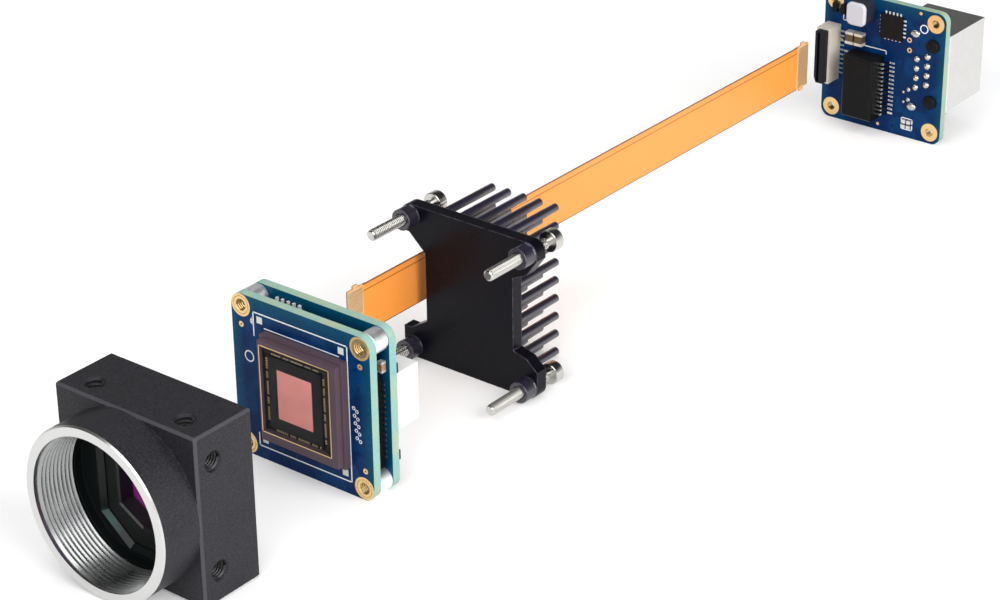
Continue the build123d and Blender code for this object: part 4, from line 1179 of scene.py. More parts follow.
@dataclass
class LensMountGroup:
    """Square lens mount with its thread, screw holes and filter."""

    dresser: Dresser
    thread_pitch: float = 0.794
    thread_depth: float = 0.5
    thread_bite: float = 0.02
    thread_root: float = 0.09
    thread_flat: float = 0.05
    thread_start: float = 0.55
    thread_turns: int = 9
    thread_steps: int = 120
    thread_radius: float = 12.7
    thread_length: float = 7.9
    hole_radius: float = 1.5
    hole_pitch: float = 0.5
    hole_ridge: float = 0.25
    hole_bite: float = 0.01
    hole_flat: float = 0.04
    hole_turns: int = 6
    hole_steps: int = 24
    hole_start: float = 0.6
    boss_length: float = 7.4
    face_depth: float = 0.28
    side_hole_setback: float = 3.5
    side_hole_spacing: float = 18.6
    base_hole_spacing: float = 16.0

    def build(self) -> None:
        """Adds the threads and dresses the nodes of the group."""
        low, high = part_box("lens_mount")
        self.low, self.high = low, high
        self.axis = Vector((0.0, 0.0, (low.z + high.z) / 2))
        self.build_lens_thread()
        self.build_side_threads()
        self.dress()

    def build_lens_thread(self) -> None:
        """Winds the lens thread as one ridge inside the bore."""
        piece = Piece("lens_thread")
        half = self.thread_pitch / 2 * MM
        wall = (self.thread_radius + self.thread_bite) * MM
        crest = (self.thread_radius - self.thread_depth) * MM
        flat = self.thread_flat * MM
        centre = self.axis + Vector((self.low.x + self.thread_start * MM, 0.0, 0.0))
        root = (self.thread_radius - self.thread_root) * MM
        piece.helix([(-half, wall), (-half, root), (-flat, crest), (flat, crest), (half, root),
                     (half, wall)], centre, (1, 0, 0), (0, 0, 1), self.thread_pitch * MM,
                    self.thread_turns, self.thread_steps)
        # Painted shade: the thread's bare metal takes a darker colour than the turned front ring.
        finish = Turned("shade_darkened_thread", (0.34, 0.35, 0.345), 0.22, centre=tuple(self.axis),
                        ring_scale=5000.0, ring_depth=3e-7)
        piece.finish(self.dresser, finish, "anodised_housing", Body.LENS)

    def build_side_threads(self) -> None:
        """Winds a ridge inside each of the side holes."""
        piece = Piece("side_hole_threads")
        wall = (self.hole_radius + self.hole_bite) * MM
        crest = (self.hole_radius - self.hole_ridge) * MM
        half = self.hole_pitch / 2 * MM
        flat = self.hole_flat * MM
        size = self.high.z - self.low.z
        hole_x = self.low.x + (self.boss_length + self.side_hole_setback) * MM
        for turn in range(4):
            angle = turn * math.pi / 2
            outward = Vector((0.0, -math.sin(angle), math.cos(angle)))
            along = Vector((0.0, math.cos(angle), math.sin(angle)))
            spacing = self.base_hole_spacing if turn == 2 else self.side_hole_spacing
            for side in (-0.5, 0.5):
                mouth = (Vector((hole_x, 0.0, self.axis.z)) + outward * size / 2
                         + along * side * spacing * MM)
                start = mouth - outward * self.hole_start * MM
                piece.helix([(-half, wall), (-flat, crest), (flat, crest), (half, wall)], start,
                            -outward, (1, 0, 0), self.hole_pitch * MM, self.hole_turns,
                            self.hole_steps)
        finish = Anodised("black_thread", (0.02, 0.02, 0.022), 0.3, grain_scale=2500.0,
                          grain_depth=1e-6, contrast=0.2, specular=0.4)
        piece.finish(self.dresser, finish, "anodised_housing", Body.LENS)

    def dress(self) -> None:
        """Finishes of the housing and of the filter parts."""
        glass_low, glass_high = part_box("filter_glass")
        housing = MountBody("blasted_black_housing", (0.017, 0.017, 0.021), 0.5,
                            grain_scale=3600.0, grain_depth=11e-6, contrast=3.2,
                            face_end_x=self.low.x + self.face_depth * MM,
                            thread_end_x=self.low.x + self.thread_length * MM,
                            thread_radius=self.thread_radius * MM, axis_height=self.axis.z)
        self.dresser.dress(housing, "lens_mount")
        self.dresser.dress(Moulded("filter_holder_black", (0.012, 0.014, 0.014), 0.32),
                           "filter_frame")
        coating = CoatedGlass("violet_coating", (0.20, 0.045, 0.36), 0.06,
                              low=(glass_low.y, glass_low.z), high=(glass_high.y, glass_high.z))
        self.dresser.dress(coating, "filter_glass")
        self.dresser.dress(Moulded("soft_black_foam", (0.02, 0.02, 0.02), 0.8, grain_scale=1800.0,
                                   grain_depth=30e-6, contrast=0.6, specular=0.2), "filter_gasket")


@dataclass
class SensorStack:
    """Sensor board, main board and what they carry."""

    dresser: Dresser
    print_width: float = 0.22
    print_rise: float = 0.025
    land_rise: float = 0.035
    land_outer: float = 2.0
    outline_low: Spot = (-9.85, 2.3)
    outline_high: Spot = (9.85, 26.5)
    ring_at: Spot = (11.13, 18.17)
    marks_at: Spot = (-11.1, 16.0)
    marks_step: Spot = (-0.13, -1.3)
    rim_margin: float = 0.22
    rim_width: float = 0.16
    rim_rise: float = 0.02
    shelf_depth: float = 0.85
    bond_sizes: tuple[float, float, float, float] = (0.42, 0.2, 0.22, 0.42)
    pad_rise: float = 0.03
    insert_radius: float = 1.5
    insert_inset: float = 2.05
    spacer_sizes: tuple[float, float, float] = (2.0, 1.05, 0.08)
    via_count: int = 14
    via_start: float = -7.6
    via_pitch: float = 2.9
    via_shift: float = 0.35
    via_rows: tuple[float, float, float] = (4.0, 24.6, 26.4)
    chip_count: int = 4
    chip_pitch: float = 3.1
    cap_offset: float = 0.8
    cap_length: float = 0.5
    fine_width: float = 0.16

    def build(self) -> None:
        """Adds the lands, print and bonding, and dresses the nodes of the group."""
        self.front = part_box("sensor_board")[0].x
        self.main_front, self.main_rear = (corner.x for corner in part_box("main_board"))
        self.dress()
        self.build_print()
        self.build_spacers()
        self.build_package_detail()
        self.build_main_board_detail()

    def hole_centres(self) -> list[Spot]:
        """Y and Z of the four corner holes, from the threaded inserts."""
        return corner_spots(*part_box("threaded_inserts"), self.insert_radius * MM)

    def build_print(self) -> None:
        """White outlines and marks printed on the sensor board."""
        piece = Piece("sensor_board_print")
        width, rise = self.print_width * MM, self.print_rise * MM
        (low_y, low_z), (high_y, high_z) = self.outline_low, self.outline_high
        corners = [(high_y, 22.3), (high_y, high_z), (low_y, high_z), (low_y, low_z),
                   (high_y, low_z), (high_y, 4.6)]
        piece.lines(self.front, corners, width, rise, Facing.LENS)
        for points in (((7.5, 24.2), (-8.1, 24.2)), ((-8.65, 23.4), (-8.72, 5.0)),
                       ((10.15, 25.4), (10.5, 24.75), (10.15, 24.2), (10.15, 25.4))):
            piece.lines(self.front, points, width * 0.8, rise, Facing.LENS)
        piece.ring((self.front, self.ring_at[0] * MM, self.ring_at[1] * MM), 0.8 * MM,
                   1.02 * MM, rise, Facing.LENS, 32)
        for index in range(5):
            y = self.marks_at[0] + self.marks_step[0] * index
            z = self.marks_at[1] + self.marks_step[1] * index
            for at_y, at_z in ((y + 0.3, z), (y - 0.35, z - 0.45)):
                piece.ring((self.front, at_y * MM, at_z * MM), 0.2 * MM, 0.34 * MM, rise,
                           Facing.LENS, 14)
        piece.finish(self.dresser, WHITE_INK, "circuit_board", Body.STACK)

    def build_spacers(self) -> None:
        """Turns the four round spacers between the boards."""
        piece = Piece("round_spacers")
        low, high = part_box("board_spacers")
        outer, inner, edge = (size * MM for size in self.spacer_sizes)
        profile = [(low.x, inner), (low.x, outer - edge), (low.x + edge, outer),
                   (high.x - edge, outer), (high.x, outer - edge), (high.x, inner)]
        for y, z in self.hole_centres():
            piece.turned(profile, (0.0, y, z), 36)
        piece.finish(self.dresser, Plated("spacer_tin", (0.90, 0.90, 0.91), 0.38),
                     "bright_steel", Body.STACK, ["board_spacers"])

    def build_package_detail(self) -> None:
        """Gold rim round the lid and the bonding pads round the die."""
        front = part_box("sensor_package")[0].x
        lid_low, lid_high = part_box("sensor_cover_glass")
        margin = self.rim_margin * MM
        rim = Piece("package_rim")
        rim.frame(front, (lid_low.y - margin, lid_low.z - margin),
                  (lid_high.y + margin, lid_high.z + margin), self.rim_width * MM,
                  self.rim_rise * MM, Facing.LENS)
        rim.finish(self.dresser, GOLD, "brass_plate", Body.STACK)
        pads = Piece("bond_wires")
        self.add_bond_pads(pads, front + self.shelf_depth * MM, *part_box("sensor_die"))
        pads.finish(self.dresser, BOND_PADS, "brass_plate", Body.STACK)

    def add_bond_pads(self, piece: Piece, shelf_x: float, low: Vector, high: Vector) -> None:
        """Adds short pads on the bonding shelf, on all four sides of the die.

        Args:
            piece: the mesh to add to.
            shelf_x: plane of the bonding shelf.
            low: lowest corner of the die.
            high: highest corner of the die.
        """
        pitch, pad, gap, reach = (size * MM for size in self.bond_sizes)
        centre = (low + high) / 2
        half_y, half_z = (high.y - low.y) / 2, (high.z - low.z) / 2
        for turn in range(4):
            upright = turn % 2 == 0
            across, along = (half_y, half_z) if upright else (half_z, half_y)
            size = Vector((reach, pad)) if upright else Vector((pad, reach))
            count = int(2 * along / pitch) - 2
            for index in range(count):
                if (index * 7 + turn * 3) % 11 in (0, 5):
                    continue
                offset = (index - (count - 1) / 2) * pitch
                outer = across + gap + reach / 2
                spot = Matrix.Rotation(turn * math.pi / 2, 2) @ Vector((outer, offset))
                middle = Vector((centre.y, centre.z)) + spot
                piece.block((shelf_x - self.pad_rise * MM, *(middle - size / 2)),
                            (shelf_x, *(middle + size / 2)))

    def build_main_board_detail(self) -> None:
        """Lands, vias and print on both faces of the main board."""
        lands = Piece("main_board_lands")
        for y, z in self.hole_centres():
            lands.ring((self.main_rear, y, z), 1.12 * MM, self.land_outer * MM,
                       self.land_rise * MM, Facing.JACK, 40)
        for index in range(self.via_count):
            row, place = divmod(index, 6)
            y = (self.via_start + self.via_pitch * place + self.via_shift * row) * MM
            lands.ring((self.main_rear, y, self.via_rows[row] * MM), 0.14 * MM, 0.34 * MM,
                       self.land_rise * MM, Facing.JACK, 12)
        lands.finish(self.dresser, GOLD, "brass_plate", Body.STACK)
        caps = Piece("stack_chip_ends")
        low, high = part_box("stack_chips")
        half = self.cap_length / 2 * MM
        for index in range(self.chip_count):
            for side in (-1, 1):
                y = high.y - (1.0 + self.chip_pitch * index - side * self.cap_offset) * MM
                caps.block((low.x - 0.03 * MM, y - half, low.z - 0.05 * MM),
                           (high.x, y + half, high.z + 0.12 * MM))
        caps.finish(self.dresser, PALE_PINS, "bright_steel", Body.STACK)
        marks = Piece("main_board_print")
        width, rise = self.fine_width * MM, self.print_rise * MM
        for node, margin in (("image_processor", 0.5), ("side_header", 0.35),
                             ("rear_cable_socket", 1.2)):
            low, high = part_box(node)
            edge = margin * MM
            marks.frame(self.main_rear, (low.y - edge, low.z - edge),
                        (high.y + edge, high.z + edge), width, rise, Facing.JACK)
        marks.finish(self.dresser, WHITE_INK, "circuit_board", Body.STACK)

    def dress(self) -> None:
        """Finishes of the boards, the sensor and the parts between and behind them."""
        dress = self.dresser.dress
        dress(BOARD, "main_board")
        middle = (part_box("sensor_board")[0].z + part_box("sensor_board")[1].z) / 2
        dress(SolderMask("front_board_mask", BOARD.colour, BOARD.roughness,
                         land_at=middle - self.insert_inset * MM, land_outer=self.land_outer * MM,
                         pad_at=(8.55 * MM, 10.85 * MM), pad_half=0.6 * MM,
                         vias=((12.55 * MM, 23.5 * MM), (-12.4 * MM, 23.75 * MM),
                               (-12.8 * MM, 5.3 * MM))), "sensor_board")
        dress(ThreadedBore("brass_insert", GOLD.colour, 0.25), "threaded_inserts")
        lid_low, lid_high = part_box("sensor_cover_glass")
        dress(Tray("purple_ceramic", (0.092, 0.060, 0.078), 0.33, grain_scale=2400.0,
                   grain_depth=8e-6, contrast=0.25, specular=0.2, edge=0.12e-3,
                   low=(lid_low.x + 0.3 * MM, lid_low.y, lid_low.z),
                   high=(lid_high.x, lid_high.y, lid_high.z)), "sensor_package")
        dress(SensorFace("imaging_silicon", (0.004, 0.0035, 0.0035), 0.25,
                         field_low=(-3.75 * MM, 10.1 * MM), field_high=(3.55 * MM, 18.9 * MM)),
              "sensor_die")
        dress(ClearGlass("clear_lid", (0.02, 0.025, 0.03), 0.03, cover=0.04), "sensor_cover_glass")
        dress(BLACK_PLASTIC, "stack_socket", "stack_plug", "power_header")
        dress(DIM_TIN, "stack_contacts")
        dress(PALE_PINS, "power_header_pins")
        dress(BRIGHT_STEEL, "side_header_pins", "rear_socket_contacts")
        dress(CHIP_EPOXY, "stack_chips", "edge_chips", "image_processor")
        dress(CappedCeramic.over("edge_capacitor", "edge_capacitor_ceramic", (0.36, 0.21, 0.10),
                                 0.4, 0.4), "edge_capacitor")
        dress(Moulded("heat_pad", (0.40, 0.43, 0.47), 0.75, grain_scale=1500.0, grain_depth=30e-6,
                      contrast=0.3, specular=0.2), "thermal_pad")
        dress(MILKY_PLASTIC, "side_header")
        dress(CREAM_PLASTIC, "rear_cable_socket")
        dress(LOCK_PLASTIC, "rear_cable_lock")


@dataclass
class Cooler:
    """Pin heatsink and its four cap screws."""

    dresser: Dresser
    thread_pitch: float = 0.4
    shank_radius: float = 0.755
    thread_radius: float = 1.0
    head_length: float = 2.0
    head_radius: float = 1.9
    key_size: float = 1.5
    key_depth: float = 1.0
    pin_radius: float = 0.732
    pin_length: float = 12.8
    pin_column_pitch: float = 3.4
    pin_row_pitch: float = 3.42
    collar_radius: float = 1.91
    collar_length: float = 2.6
    collar_inset: float = 2.05
    collar_bore: float = 1.165
    collar_flare: float = 0.12
    collar_edge: float = 0.1
    pin_edge: float = 0.14
    skin: float = 0.01
    tip_length: float = 0.35
    tip_bevel: float = 0.05
    tip_taper: float = 0.3
    head_edge: float = 0.22
    key_lip: float = 0.12
    ridge_flat: float = 0.045
    plain_turns: float = 2.4
    steps: int = 24
    columns: int = 5
    rows: int = 9

    def build(self) -> None:
        """Dresses the heatsink and replaces the screws by threaded ones."""
        # The lavender-grey edge colour is a painted highlight on the plate's rounded edges.
        finish = Anodised("smooth_black_heatsink", (0.0035, 0.003, 0.006), 0.3, grain_scale=1400.0,
                          grain_depth=1.5e-6, contrast=0.25, edge_highlight_colour=(0.24, 0.22, 0.29),
                          edge=0.26e-3, specular=0.12)
        self.dresser.dress(finish, "heatsink")
        # Painted highlight: the pins take a lighter, more lavender colour than the plate's black.
        self.build_pins(Anodised("lavender_highlighted_pins", (0.017, 0.014, 0.027), 0.23,
                                 grain_scale=1400.0, grain_depth=1.5e-6, contrast=0.25,
                                 edge_highlight_colour=finish.edge_highlight_colour, edge=0.2e-3, specular=1.0))
        self.build_screws()

    def build_pins(self, finish: Finish) -> None:
        """Turns round skins for the pins and the collars.

        Args:
            finish: their surface finish.
        """
        low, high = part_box("heatsink")
        piece = Piece("round_pins")
        skin = self.skin * MM
        tip, radius, edge = high.x + skin, self.pin_radius * MM, self.pin_edge * MM
        root = tip - self.pin_length * MM
        middle = (low.z + high.z) / 2
        for column in range(self.columns):
            for row in range(self.rows):
                centre = (0.0, (column - self.columns // 2) * self.pin_column_pitch * MM,
                          middle + (row - self.rows // 2) * self.pin_row_pitch * MM)
                piece.turned([(root, 0.0), (root, radius), (tip - edge, radius),
                              (tip - edge * 0.3, radius - edge * 0.3),
                              (tip, radius - edge), (tip, 0.0)], centre, 20, closed=False)
        front, plate = low.x - skin, low.x + self.collar_length * MM
        outer, inner, flare, inset = (size * MM for size in (
            self.collar_radius, self.collar_bore, self.collar_flare, self.collar_inset))
        bevel = self.collar_edge * MM
        for y, z in corner_spots(low, high, inset):
            piece.turned([(front, inner), (front, outer - bevel), (front + bevel, outer),
                          (plate - 3 * flare, outer), (plate - flare, outer + flare * 0.4),
                          (plate + skin, outer + flare), (plate + skin, inner)],
                         (0.0, y, z), 36)
        piece.finish(self.dresser, finish, "anodised_heatsink", Body.COOLER)

    def build_screws(self) -> None:
        """Turns four screws: a shank with a wound thread and a head with a hexagon socket."""
        low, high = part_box("heatsink_screws")
        piece = Piece("threaded_cap_screws")
        head_x = high.x - self.head_length * MM
        for y, z in corner_spots(low, high, self.head_radius * MM):
            self.add_screw(piece, low.x, head_x, high.x, y, z)
        finish = Plated("stainless_screw", (0.60, 0.59, 0.56), 0.2, grain_scale=3500.0,
                        grain_depth=2e-7, spread=0.05, edge=0.03e-3)
        piece.finish(self.dresser, finish, "bright_steel", Body.COOLER, ["heatsink_screws"])

    def add_screw(self, piece: Piece, tip_x: float, head_x: float, top_x: float,
                  y: float, z: float) -> None:
        """Adds one screw.

        Args:
            piece: the mesh to add to.
            tip_x: end of the shank.
            head_x: underside of the head.
            top_x: top of the head.
            y: place across the axis.
            z: height.
        """
        centre = Vector((0.0, y, z))
        shank = self.shank_radius * MM
        major = self.thread_radius * MM
        tip = self.tip_length * MM
        point = major - self.tip_bevel * MM
        piece.turned([(tip_x, 0.0), (tip_x, major - self.tip_taper * MM),
                      (tip_x + tip / 2, point), (tip_x + tip, point), (tip_x + tip, shank),
                      (head_x, shank)], centre, self.steps, closed=False)
        rim = self.head_edge * MM
        head = self.head_radius * MM
        lip = (self.key_size / 2 * HEXAGON_CORNER + self.key_lip) * MM
        piece.turned([(head_x, shank), (head_x, head - rim / 2), (head_x + rim / 2, head),
                      (top_x - rim, head), (top_x - rim * 0.3, head - rim * 0.3),
                      (top_x, head - rim), (top_x, lip)],
                     centre, self.steps, closed=False)
        self.add_key(piece, top_x, y, z, lip)
        pitch = self.thread_pitch * MM
        flat, base = self.ridge_flat * MM, shank - self.skin * MM
        turns = math.floor((head_x - tip_x - self.plain_turns * pitch) / pitch)
        piece.helix([(-pitch / 2, base), (-flat, major), (flat, major), (pitch / 2, base)],
                    centre + Vector((tip_x + tip / 2 + pitch / 2, 0, 0)), (1, 0, 0), (0, 0, 1),
                    pitch, turns, 20)

    def add_key(self, piece: Piece, top_x: float, y: float, z: float, outer: float) -> None:
        """Adds the hexagon socket: a flat lip drawn in to six sides, then walls and a floor."""
        mesh, steps = piece.mesh, self.steps
        apothem, depth = self.key_size / 2 * MM, self.key_depth * MM
        rotate = Matrix.Rotation(math.radians(90), 4, "Y")
        place = Matrix.Translation((top_x, y, z)) @ rotate
        ring = bmesh.ops.create_circle(mesh, cap_ends=False, radius=outer, segments=steps,
                                       matrix=place)["verts"]
        hexagon = bmesh.ops.create_circle(mesh, cap_ends=False, radius=apothem, segments=steps,
                                          matrix=place)["verts"]
        for vert in hexagon:
            arm = Vector((0.0, vert.co.y - y, vert.co.z - z))
            angle = math.atan2(arm.z, arm.y)
            turn = (angle + math.pi / 6) % (math.pi / 3) - math.pi / 6
            vert.co = Vector((top_x, y, z)) + arm / math.cos(turn)
        lip = [e for v in ring for e in v.link_edges] + [e for v in hexagon for e in v.link_edges]
        bmesh.ops.bridge_loops(mesh, edges=list(set(lip)))
        rim = list({e for v in hexagon for e in v.link_edges
                    if all(end in hexagon for end in e.verts)})
        walls = bmesh.ops.extrude_edge_only(mesh, edges=rim)["geom"]
        floor = [item for item in walls if isinstance(item, bmesh.types.BMVert)]
        bmesh.ops.translate(mesh, vec=(-depth, 0.0, 0.0), verts=floor)
        bmesh.ops.contextual_create(mesh, geom=floor)


@dataclass
class FlatCable:
    """Orange flat cable with its stiffeners and fingers."""

    dresser: Dresser

    def build(self) -> None:
        """Dresses the strip, its stiffeners and its fingers."""
        low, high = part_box("flat_cable")
        centre = ((low.y + high.y) / 2, (low.z + high.z) / 2)
        film = CableFilm("orange_film", (0.95, 0.32, 0.055), 0.34, centre=centre,
                         half_width=4.6 * MM, ends=(low.x, high.x), finger_length=3.9 * MM)
        self.dresser.dress(film, "flat_cable")
        self.dresser.dress(Moulded("brown_backing", (0.30, 0.17, 0.10), 0.35), "cable_stiffeners")
        self.dresser.dress(Plated("pale_gold_fingers", (0.92, 0.74, 0.48), 0.42), "cable_contacts")


@dataclass
class InterfaceModule:
    """Interface board with its transformer, small parts and network jack."""

    dresser: Dresser
    hole_inset: float = 2.4
    jack_centre: Spot = (-7.3, 14.9)
    contact_pitch: float = 1.016
    contact_count: int = 8
    contact_rows: Spot = (-0.6, -3.0)
    tab_offset: float = 7.85
    peg_row: float = -4.05
    peg_spacing: float = 11.95
    land_rise: float = 0.035
    land_outer: float = 1.9
    hole_radius: float = 0.87
    barrel_outer: float = 0.86
    barrel_inner: float = 0.8
    open_vias: tuple[Spot, ...] = ((-5.87, 20.95), (-6.01, 18.82))
    filled_vias: tuple[Spot, ...] = ((-8.1, 27.1), (9.9, 17.4), (0.4, 1.3), (8.6, 2.2))
    tinned_spots: tuple[tuple[float, float, float], ...] = (
        (-6.28, 10.42, 0.5), (-5.13, 9.64, 0.32), (-6.29, 8.23, 0.5), (-5.26, 7.54, 0.32))
    ring_at: Spot = (-9.06, 24.0)
    print_edge: float = 0.3
    print_gap: float = 0.25
    print_width: float = 0.2
    print_rise: float = 0.025

    def build(self) -> None:
        """Adds the lands and print, and dresses the nodes of the group."""
        self.low, self.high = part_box("interface_board")
        self.build_lands()
        self.build_print()
        self.build_solder()
        self.dress()

    def build_lands(self) -> None:
        """Gold rings round the corner holes on both faces, and vias."""
        piece = Piece("interface_board_lands")
        rise = self.land_rise * MM
        outer, inner = self.barrel_outer * MM, self.barrel_inner * MM
        for y, z in corner_spots(self.low, self.high, self.hole_inset * MM):
            for x, facing in ((self.low.x, Facing.LENS), (self.high.x, Facing.JACK)):
                piece.ring((x, y, z), self.hole_radius * MM, self.land_outer * MM, rise, facing,
                           40)
            piece.turned([(self.low.x, outer), (self.low.x, inner), (self.high.x, inner),
                          (self.high.x, outer)], (0, y, z), 32)
        for y, z in self.open_vias:
            piece.ring((self.low.x, y * MM, z * MM), 0.28 * MM, 0.55 * MM, rise, Facing.LENS, 20)
        for y, z in self.filled_vias:
            piece.disc((self.low.x, y * MM, z * MM), 0.35 * MM, rise, Facing.LENS, 14)
        piece.finish(self.dresser, GOLD, "brass_plate", Body.INTERFACE)

    def build_print(self) -> None:
        """White ring, corner marks and outlines on the front face."""
        piece = Piece("interface_board_print")
        x, rise, width = self.low.x, self.print_rise * MM, self.print_width * MM
        piece.ring((x, self.ring_at[0] * MM, self.ring_at[1] * MM), 0.72 * MM, 0.95 * MM, rise,
                   Facing.LENS, 28)
        for points in (((4.35, 17.42), (-0.7, 17.42), (-0.7, 16.8)),
                       ((9.6, 23.0), (9.6, 21.8), (7.9, 21.8))):
            piece.lines(x, points, width, rise, Facing.LENS)
        low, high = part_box("chip_resistors")
        edge, gap = self.print_edge * MM, self.print_gap * MM
        middle = (low.z + high.z) / 2
        for end, inner in ((high.z + edge, middle + gap), (low.z - edge, middle - gap)):
            corners = [(low.y - edge, inner), (low.y - edge, end), (high.y + edge, end),
                       (high.y + edge, inner)]
            piece.lines(x, [(y / MM, z / MM) for y, z in corners], width, rise, Facing.LENS)
        low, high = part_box("jack_shield")
        piece.frame(self.high.x, (low.y - edge, low.z - edge), (high.y + edge, high.z + edge),
                    width, rise, Facing.JACK)
        piece.finish(self.dresser, WHITE_INK, "circuit_board", Body.INTERFACE)

    def build_solder(self) -> None:
        """Tinned pads beside the transformer, the jack's domed joints and its peg ends."""
        piece = Piece("interface_board_pads")
        for y, z, radius in self.tinned_spots:
            piece.dome((self.low.x, y * MM, z * MM), radius * MM, 0.6 * radius * MM, 16)
        piece.finish(self.dresser, SOLDER, "solder", Body.INTERFACE)
        joints = Piece("domed_joints")
        front = self.low.x
        jack_y, jack_z = self.jack_centre
        for index in range(self.contact_count):
            row = self.contact_rows[index % 2]
            z = jack_z + (index - (self.contact_count - 1) / 2) * self.contact_pitch
            joints.dome((front, (jack_y + row) * MM, z * MM), 0.75 * MM, 0.72 * MM)
        for side in (-1, 1):
            joints.dome((front, jack_y * MM, (jack_z + side * self.tab_offset) * MM),
                        0.85 * MM, 0.78 * MM, 24, 1.3, 1.8)
        joints.finish(self.dresser, SOLDER, "solder", Body.INTERFACE, ["solder_joints"])
        pegs = Piece("peg_ends")
        for side in (-0.5, 0.5):
            pegs.dome((front + 0.02 * MM, (jack_y + self.peg_row) * MM,
                       (jack_z + side * self.peg_spacing) * MM), 1.415 * MM, 1.0 * MM, 32,
                      1.0, 1.3)
        pegs.finish(self.dresser, BLACK_PLASTIC, "black_moulding", Body.INTERFACE)

    def dress(self) -> None:
        """Finishes of the board's parts."""
        dress = self.dresser.dress
        dress(BOARD, "interface_board")
        dress(CREAM_PLASTIC, "front_cable_socket")
        dress(LOCK_PLASTIC, "front_cable_lock")
        dress(BRIGHT_STEEL, "front_socket_contacts")
        dress(PALE_PINS, "controller_leads")
        dress(BentLead("bent_tinned_lead", (0.80, 0.80, 0.79), 0.24,
                       foot_x=self.low.x - 0.3 * MM, shoulder_x=self.low.x - 1.75 * MM),
              "transformer_leads")
        dress(BLACK_PLASTIC, "transformer", "jack_insert")
        dress(CHIP_EPOXY, "controller_chip", "corner_chips")
        plate_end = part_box("power_inductor")[0].x + 0.7 * MM
        dress(TopPlate("plated_ferrite", (0.020, 0.022, 0.034), 0.42, grain_scale=1800.0,
                       grain_depth=8e-6, contrast=0.25, plate_end_x=plate_end), "power_inductor")
        for node, *look in (("ceramic_capacitors", "brown_ceramic", (0.085, 0.06, 0.025), 0.38,
                             0.58),
                            ("chip_resistors", "resistor_ceramic", (0.03, 0.03, 0.034), 0.4,
                             0.72)):
            dress(CappedCeramic.over(node, *look), node)
        dress(Plated("nickel_sheet", (0.72, 0.71, 0.695), 0.22, grain_scale=900.0,
                     grain_depth=4e-7, spread=0.04, edge=0.2e-3), "jack_shield")
        dress(GOLD, "jack_contacts")


# Studio


@dataclass(frozen=True)
class Lamp:
    """One square area lamp, in metres and watts."""

    name: str
    place: tuple[float, float, float]
    aim: tuple[float, float, float]
    size: float
    power: float

    def build(self) -> None:
        """Adds the lamp, turned to what it looks at."""
        data = bpy.data.lights.new(self.name, "AREA")
        data.energy = self.power
        data.size = self.size
        lamp = bpy.data.objects.new(self.name, data)
        bpy.context.scene.collection.objects.link(lamp)
        lamp.location = self.place
        beam = Vector(self.aim) - Vector(self.place)
        lamp.rotation_euler = beam.to_track_quat("-Z", "Y").to_euler()


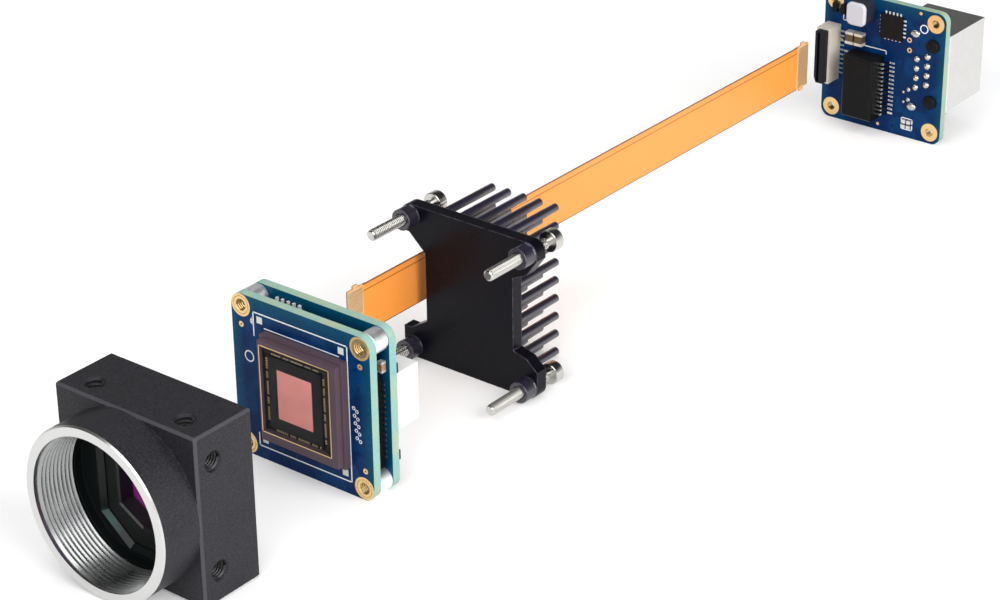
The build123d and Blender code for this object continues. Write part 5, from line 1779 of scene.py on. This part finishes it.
@dataclass
class Studio:
    """Floor, light and camera: a key from the near side, a fill from the lens and a top light."""

    camera_place: tuple[float, float, float] = (-249.8, -266.0, 226.7)
    azimuth: float = 51.33
    elevation: float = 26.84
    roll: float = -0.7
    lens: float = 100.36
    floor_size: float = 6.0
    floor_drop: float = 0.05e-3
    floor_tone: float = 0.86
    floor_glow: float = 0.2
    world_light: float = 0.26
    lamps: tuple[Lamp, ...] = (
        Lamp("near_soft_box", (0.02, -0.66, 0.28), (0.06, 0.0, 0.0), 0.7, 6.2),
        Lamp("lens_soft_box", (-0.55, -0.15, 0.42), (0.03, 0.0, 0.01), 0.55, 3.3),
        Lamp("top_soft_box", (0.12, 0.25, 0.75), (0.1, 0.0, 0.0), 0.75, 2.4))

    def build(self) -> None:
        """Makes the floor, the lamps, the world and the camera."""
        self.build_floor()
        self.build_world()
        for lamp in self.lamps:
            lamp.build()
        self.build_camera()
        bpy.context.scene.view_settings.view_transform = "Standard"

    def build_floor(self) -> None:
        """A wide pale floor just under the part, white to the camera outside the shadow."""
        mesh = bmesh.new()
        bmesh.ops.create_grid(mesh, x_segments=1, y_segments=1, size=self.floor_size / 2)
        floor = mesh_object("studio_floor", mesh)
        floor.location.z = -self.floor_drop
        material = bpy.data.materials.new("studio_white")
        material.use_nodes = True
        tree = Tree(material.node_tree)
        shader = tree.find("BSDF_PRINCIPLED")
        shader.inputs["Base Color"].default_value = (*[self.floor_tone] * 3, 1.0)
        shader.inputs["Roughness"].default_value = 0.9
        shader.inputs["Specular IOR Level"].default_value = 0.1
        paths = tree.node("ShaderNodeLightPath")
        seen = tree.larger(paths.outputs["Is Camera Ray"],
                           tree.larger(paths.outputs["Is Glossy Ray"],
                                       paths.outputs["Is Transmission Ray"]))
        shader.inputs["Emission Color"].default_value = (1.0, 1.0, 1.0, 1.0)
        tree.feed(shader.inputs["Emission Strength"], tree.mul(seen, self.floor_glow))
        floor.data.materials.append(material)

    def build_world(self) -> None:
        """Even grey light, white to the camera and bright low down for reflections."""
        world = bpy.data.worlds.new("studio_world")
        bpy.context.scene.world = world
        world.use_nodes = True
        tree = Tree(world.node_tree)
        back = tree.find("BACKGROUND")
        paths = tree.node("ShaderNodeLightPath")
        _, _, up = tree.split(tree.node("ShaderNodeTexCoord").outputs["Generated"])
        glow = tree.span(up, 0.05, 0.38, 0.8, 0.02)
        mirrored = tree.mul(paths.outputs["Is Glossy Ray"], glow)
        plain = tree.mul(tree.inverse(paths.outputs["Is Glossy Ray"]), self.world_light)
        seen = tree.larger(paths.outputs["Is Camera Ray"], paths.outputs["Is Transmission Ray"])
        strength = tree.larger(seen, tree.add(mirrored, plain))
        back.inputs["Color"].default_value = (1.0, 1.0, 1.0, 1.0)
        tree.feed(back.inputs["Strength"], strength)

    def build_camera(self) -> None:
        """The camera at the photograph's place and angle."""
        azimuth, elevation, roll = (math.radians(angle) for angle in
                                    (self.azimuth, self.elevation, self.roll))
        forward = Vector((math.cos(elevation) * math.sin(azimuth),
                          math.cos(elevation) * math.cos(azimuth), -math.sin(elevation)))
        level = forward.cross(Vector((0.0, 0.0, 1.0))).normalized()
        upright = level.cross(forward)
        right = math.cos(roll) * level + math.sin(roll) * upright
        top = math.cos(roll) * upright - math.sin(roll) * level
        data = bpy.data.cameras.new("photo_camera")
        data.lens = self.lens
        data.sensor_width = 36.0
        data.clip_start, data.clip_end = 0.01, 20.0
        camera = bpy.data.objects.new("photo_camera", data)
        turned = Matrix((right, top, -forward)).transposed()
        camera.matrix_world = (Matrix.Translation(Vector(self.camera_place) * MM)
                               @ turned.to_4x4())
        bpy.context.scene.collection.objects.link(camera)
        bpy.context.scene.camera = camera


def main() -> None:
    """Builds the studio and the camera's groups in order."""
    logging.basicConfig(level=logging.INFO, format="%(message)s")
    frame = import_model()
    Studio().build()
    dresser = Dresser(frame)
    groups = (LensMountGroup, SensorStack, Cooler, FlatCable, InterfaceModule)
    for group in groups:
        group(dresser).build()


if __name__ == "__main__":
    main()
